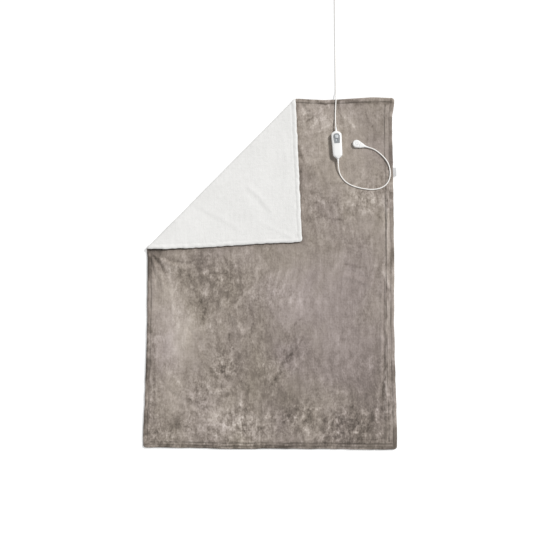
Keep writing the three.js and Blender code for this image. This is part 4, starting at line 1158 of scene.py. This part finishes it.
def make_label():
    """The care label: a tape folded in two, whose fold stands out past the right-hand hem."""
    low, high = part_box("care_label")
    length, reach = high.y - low.y, high.x - low.x
    thick, bend = 0.00025, 0.0006  # of the tape, and how far its fold stands out past the flat
    rows = 24
    flat = reach - bend
    path = [(flat * t, 0.0) for t in (0, *np.linspace(0.1, 1, 12))]
    path += [(flat + bend * math.sin(a), 0.0004 * (1 - math.cos(a))) for a in np.linspace(0.3, math.pi, 8)]
    path += [(flat * t, 0.0008) for t in np.linspace(0.95, 0, 12)]
    n = len(path)
    points = []
    for side in (0, 1):
        for j in range(rows + 1):
            wave = 0.0011 * math.sin(1.3 * math.pi * j / rows + 0.4)
            for i, (x, z) in enumerate(path):
                into = side * (thick if i < n // 2 else -thick)
                across = x - side * thick * (0.0001 < z < 0.0007)
                curl = wave * float(ease((x - 0.012) / 0.02)) - 0.0003
                points.append(low + Vector((across, length * j / rows, z + curl + into)))
    outer, inner = np.arange(len(points)).reshape(2, rows + 1, n)
    faces = [*strip(inner[:, 0], outer[:, 0]), *strip(outer[:, -1], inner[:, -1]),
             *strip(outer[0], inner[0]), *strip(inner[-1], outer[-1])]
    for j in range(rows):
        faces += strip(outer[j + 1], outer[j]) + strip(inner[j], inner[j + 1])
    label = new_mesh("care_tape", points, faces, sharp=60)
    finish_piece(label, "label_cloth", "throw", "care_label")


def make_spring():
    """The spring under the release button: one wave spring."""
    low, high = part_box("release_spring")
    middle = (low + high) / 2
    radius, wave = 0.0045, 0.0007
    points = [middle + Vector((radius * math.cos(angle), radius * math.sin(angle), wave * math.cos(4 * angle)))
              for angle in np.linspace(0, 2 * math.pi, 73)]
    spring = tube("wave_spring", points, 0.0003, sides=8)
    finish_piece(spring, "screw_steel", "throw", "release_spring")
    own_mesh(spring)


# ---- stage
FLOOR_REACH = 60
FLOOR_Z = -0.0004


def make_stage():
    corners = [(x * FLOOR_REACH, y * FLOOR_REACH, FLOOR_Z) for x, y in ((-1, -1), (1, -1), (1, 1), (-1, 1))]
    floor = new_mesh("floor", corners, [(0, 1, 2, 3)])
    f = Finish("floor", 0.9, Specular_IOR_Level=0.0, Emission_Color=(1, 1, 1, 1), Emission_Strength=0.37)
    f.colour(f.mix(f.noise((3, 3, 3)), (0.62, 0.62, 0.62), (0.65, 0.65, 0.65)))
    paint(floor, f.material)

    world = bpy.data.worlds.new("studio")
    world.use_nodes = True
    background = world.node_tree.nodes["Background"]
    background.inputs["Color"].default_value = (1, 1, 1, 1)
    background.inputs["Strength"].default_value = 0.46
    bpy.context.scene.world = world

    lamp = bpy.data.lights.new("key_light", "SUN")
    lamp.energy = 2.95
    lamp.angle = math.radians(9)
    light = new_object("key_light", lamp)
    light.rotation_euler = Vector((0.85, 0.60, 1.0)).to_track_quat("Z", "Y").to_euler()
    bpy.context.scene.view_settings.view_transform = "Standard"


# ---- the whole
make_camera()

FINISHES = {
    "plush": plush_finish(),
    "fleece": fleece_finish(),
    "nonwoven": woven("nonwoven", (0.70, 0.69, 0.66), 0.0012),
    "wire_sheath": moulded("wire_sheath", (0.62, 0.56, 0.45), 0.5),
    "label_cloth": woven("label_cloth", (0.62, 0.62, 0.62), 0.0006, 0.6),
    "white_plastic": moulded("white_plastic", (0.86, 0.857, 0.845), 0.32,
                             Coat_Weight=0.15, Coat_Roughness=0.15),
    "grey_plastic": moulded("grey_plastic", (0.28, 0.295, 0.305), 0.3, Coat_Weight=0.3, Coat_Roughness=0.1),
    "knob_plastic": moulded("knob_plastic", (0.55, 0.58, 0.60), 0.3, Coat_Weight=0.3, Coat_Roughness=0.1),
    "cord_sheath": cord_finish(),
    "board": board_finish(),
    "dark_part": moulded("dark_part", (0.035, 0.036, 0.04), 0.45),
    "glass": glass_finish(),
    "screw_steel": metal("screw_steel", (0.62, 0.61, 0.59), 0.3),
    "brass": metal("brass", (0.74, 0.56, 0.28), 0.3),
}
for row in frame["record"]["subparts"]:
    paint(frame["nodes"][row["node"]], FINISHES[row["material_slot"]])

mains, mains_length = mains_cord()
finish_piece(mains, "cord_sheath", "throw", "mains_lead", "mains_coil", "mains_tail")
loop_points = smooth_line(LOOP_LEAD[::-1], CORD_STEP)
loop = paint(tube("loop_cord", loop_points, CORD_RADIUS), FINISHES["cord_sheath"])
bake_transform(loop)
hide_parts("loop_lead")

make_control()
make_socket()
make_plug()
make_mains_plug()
make_tie()
make_spring()
make_throw()
make_label()
make_stage()
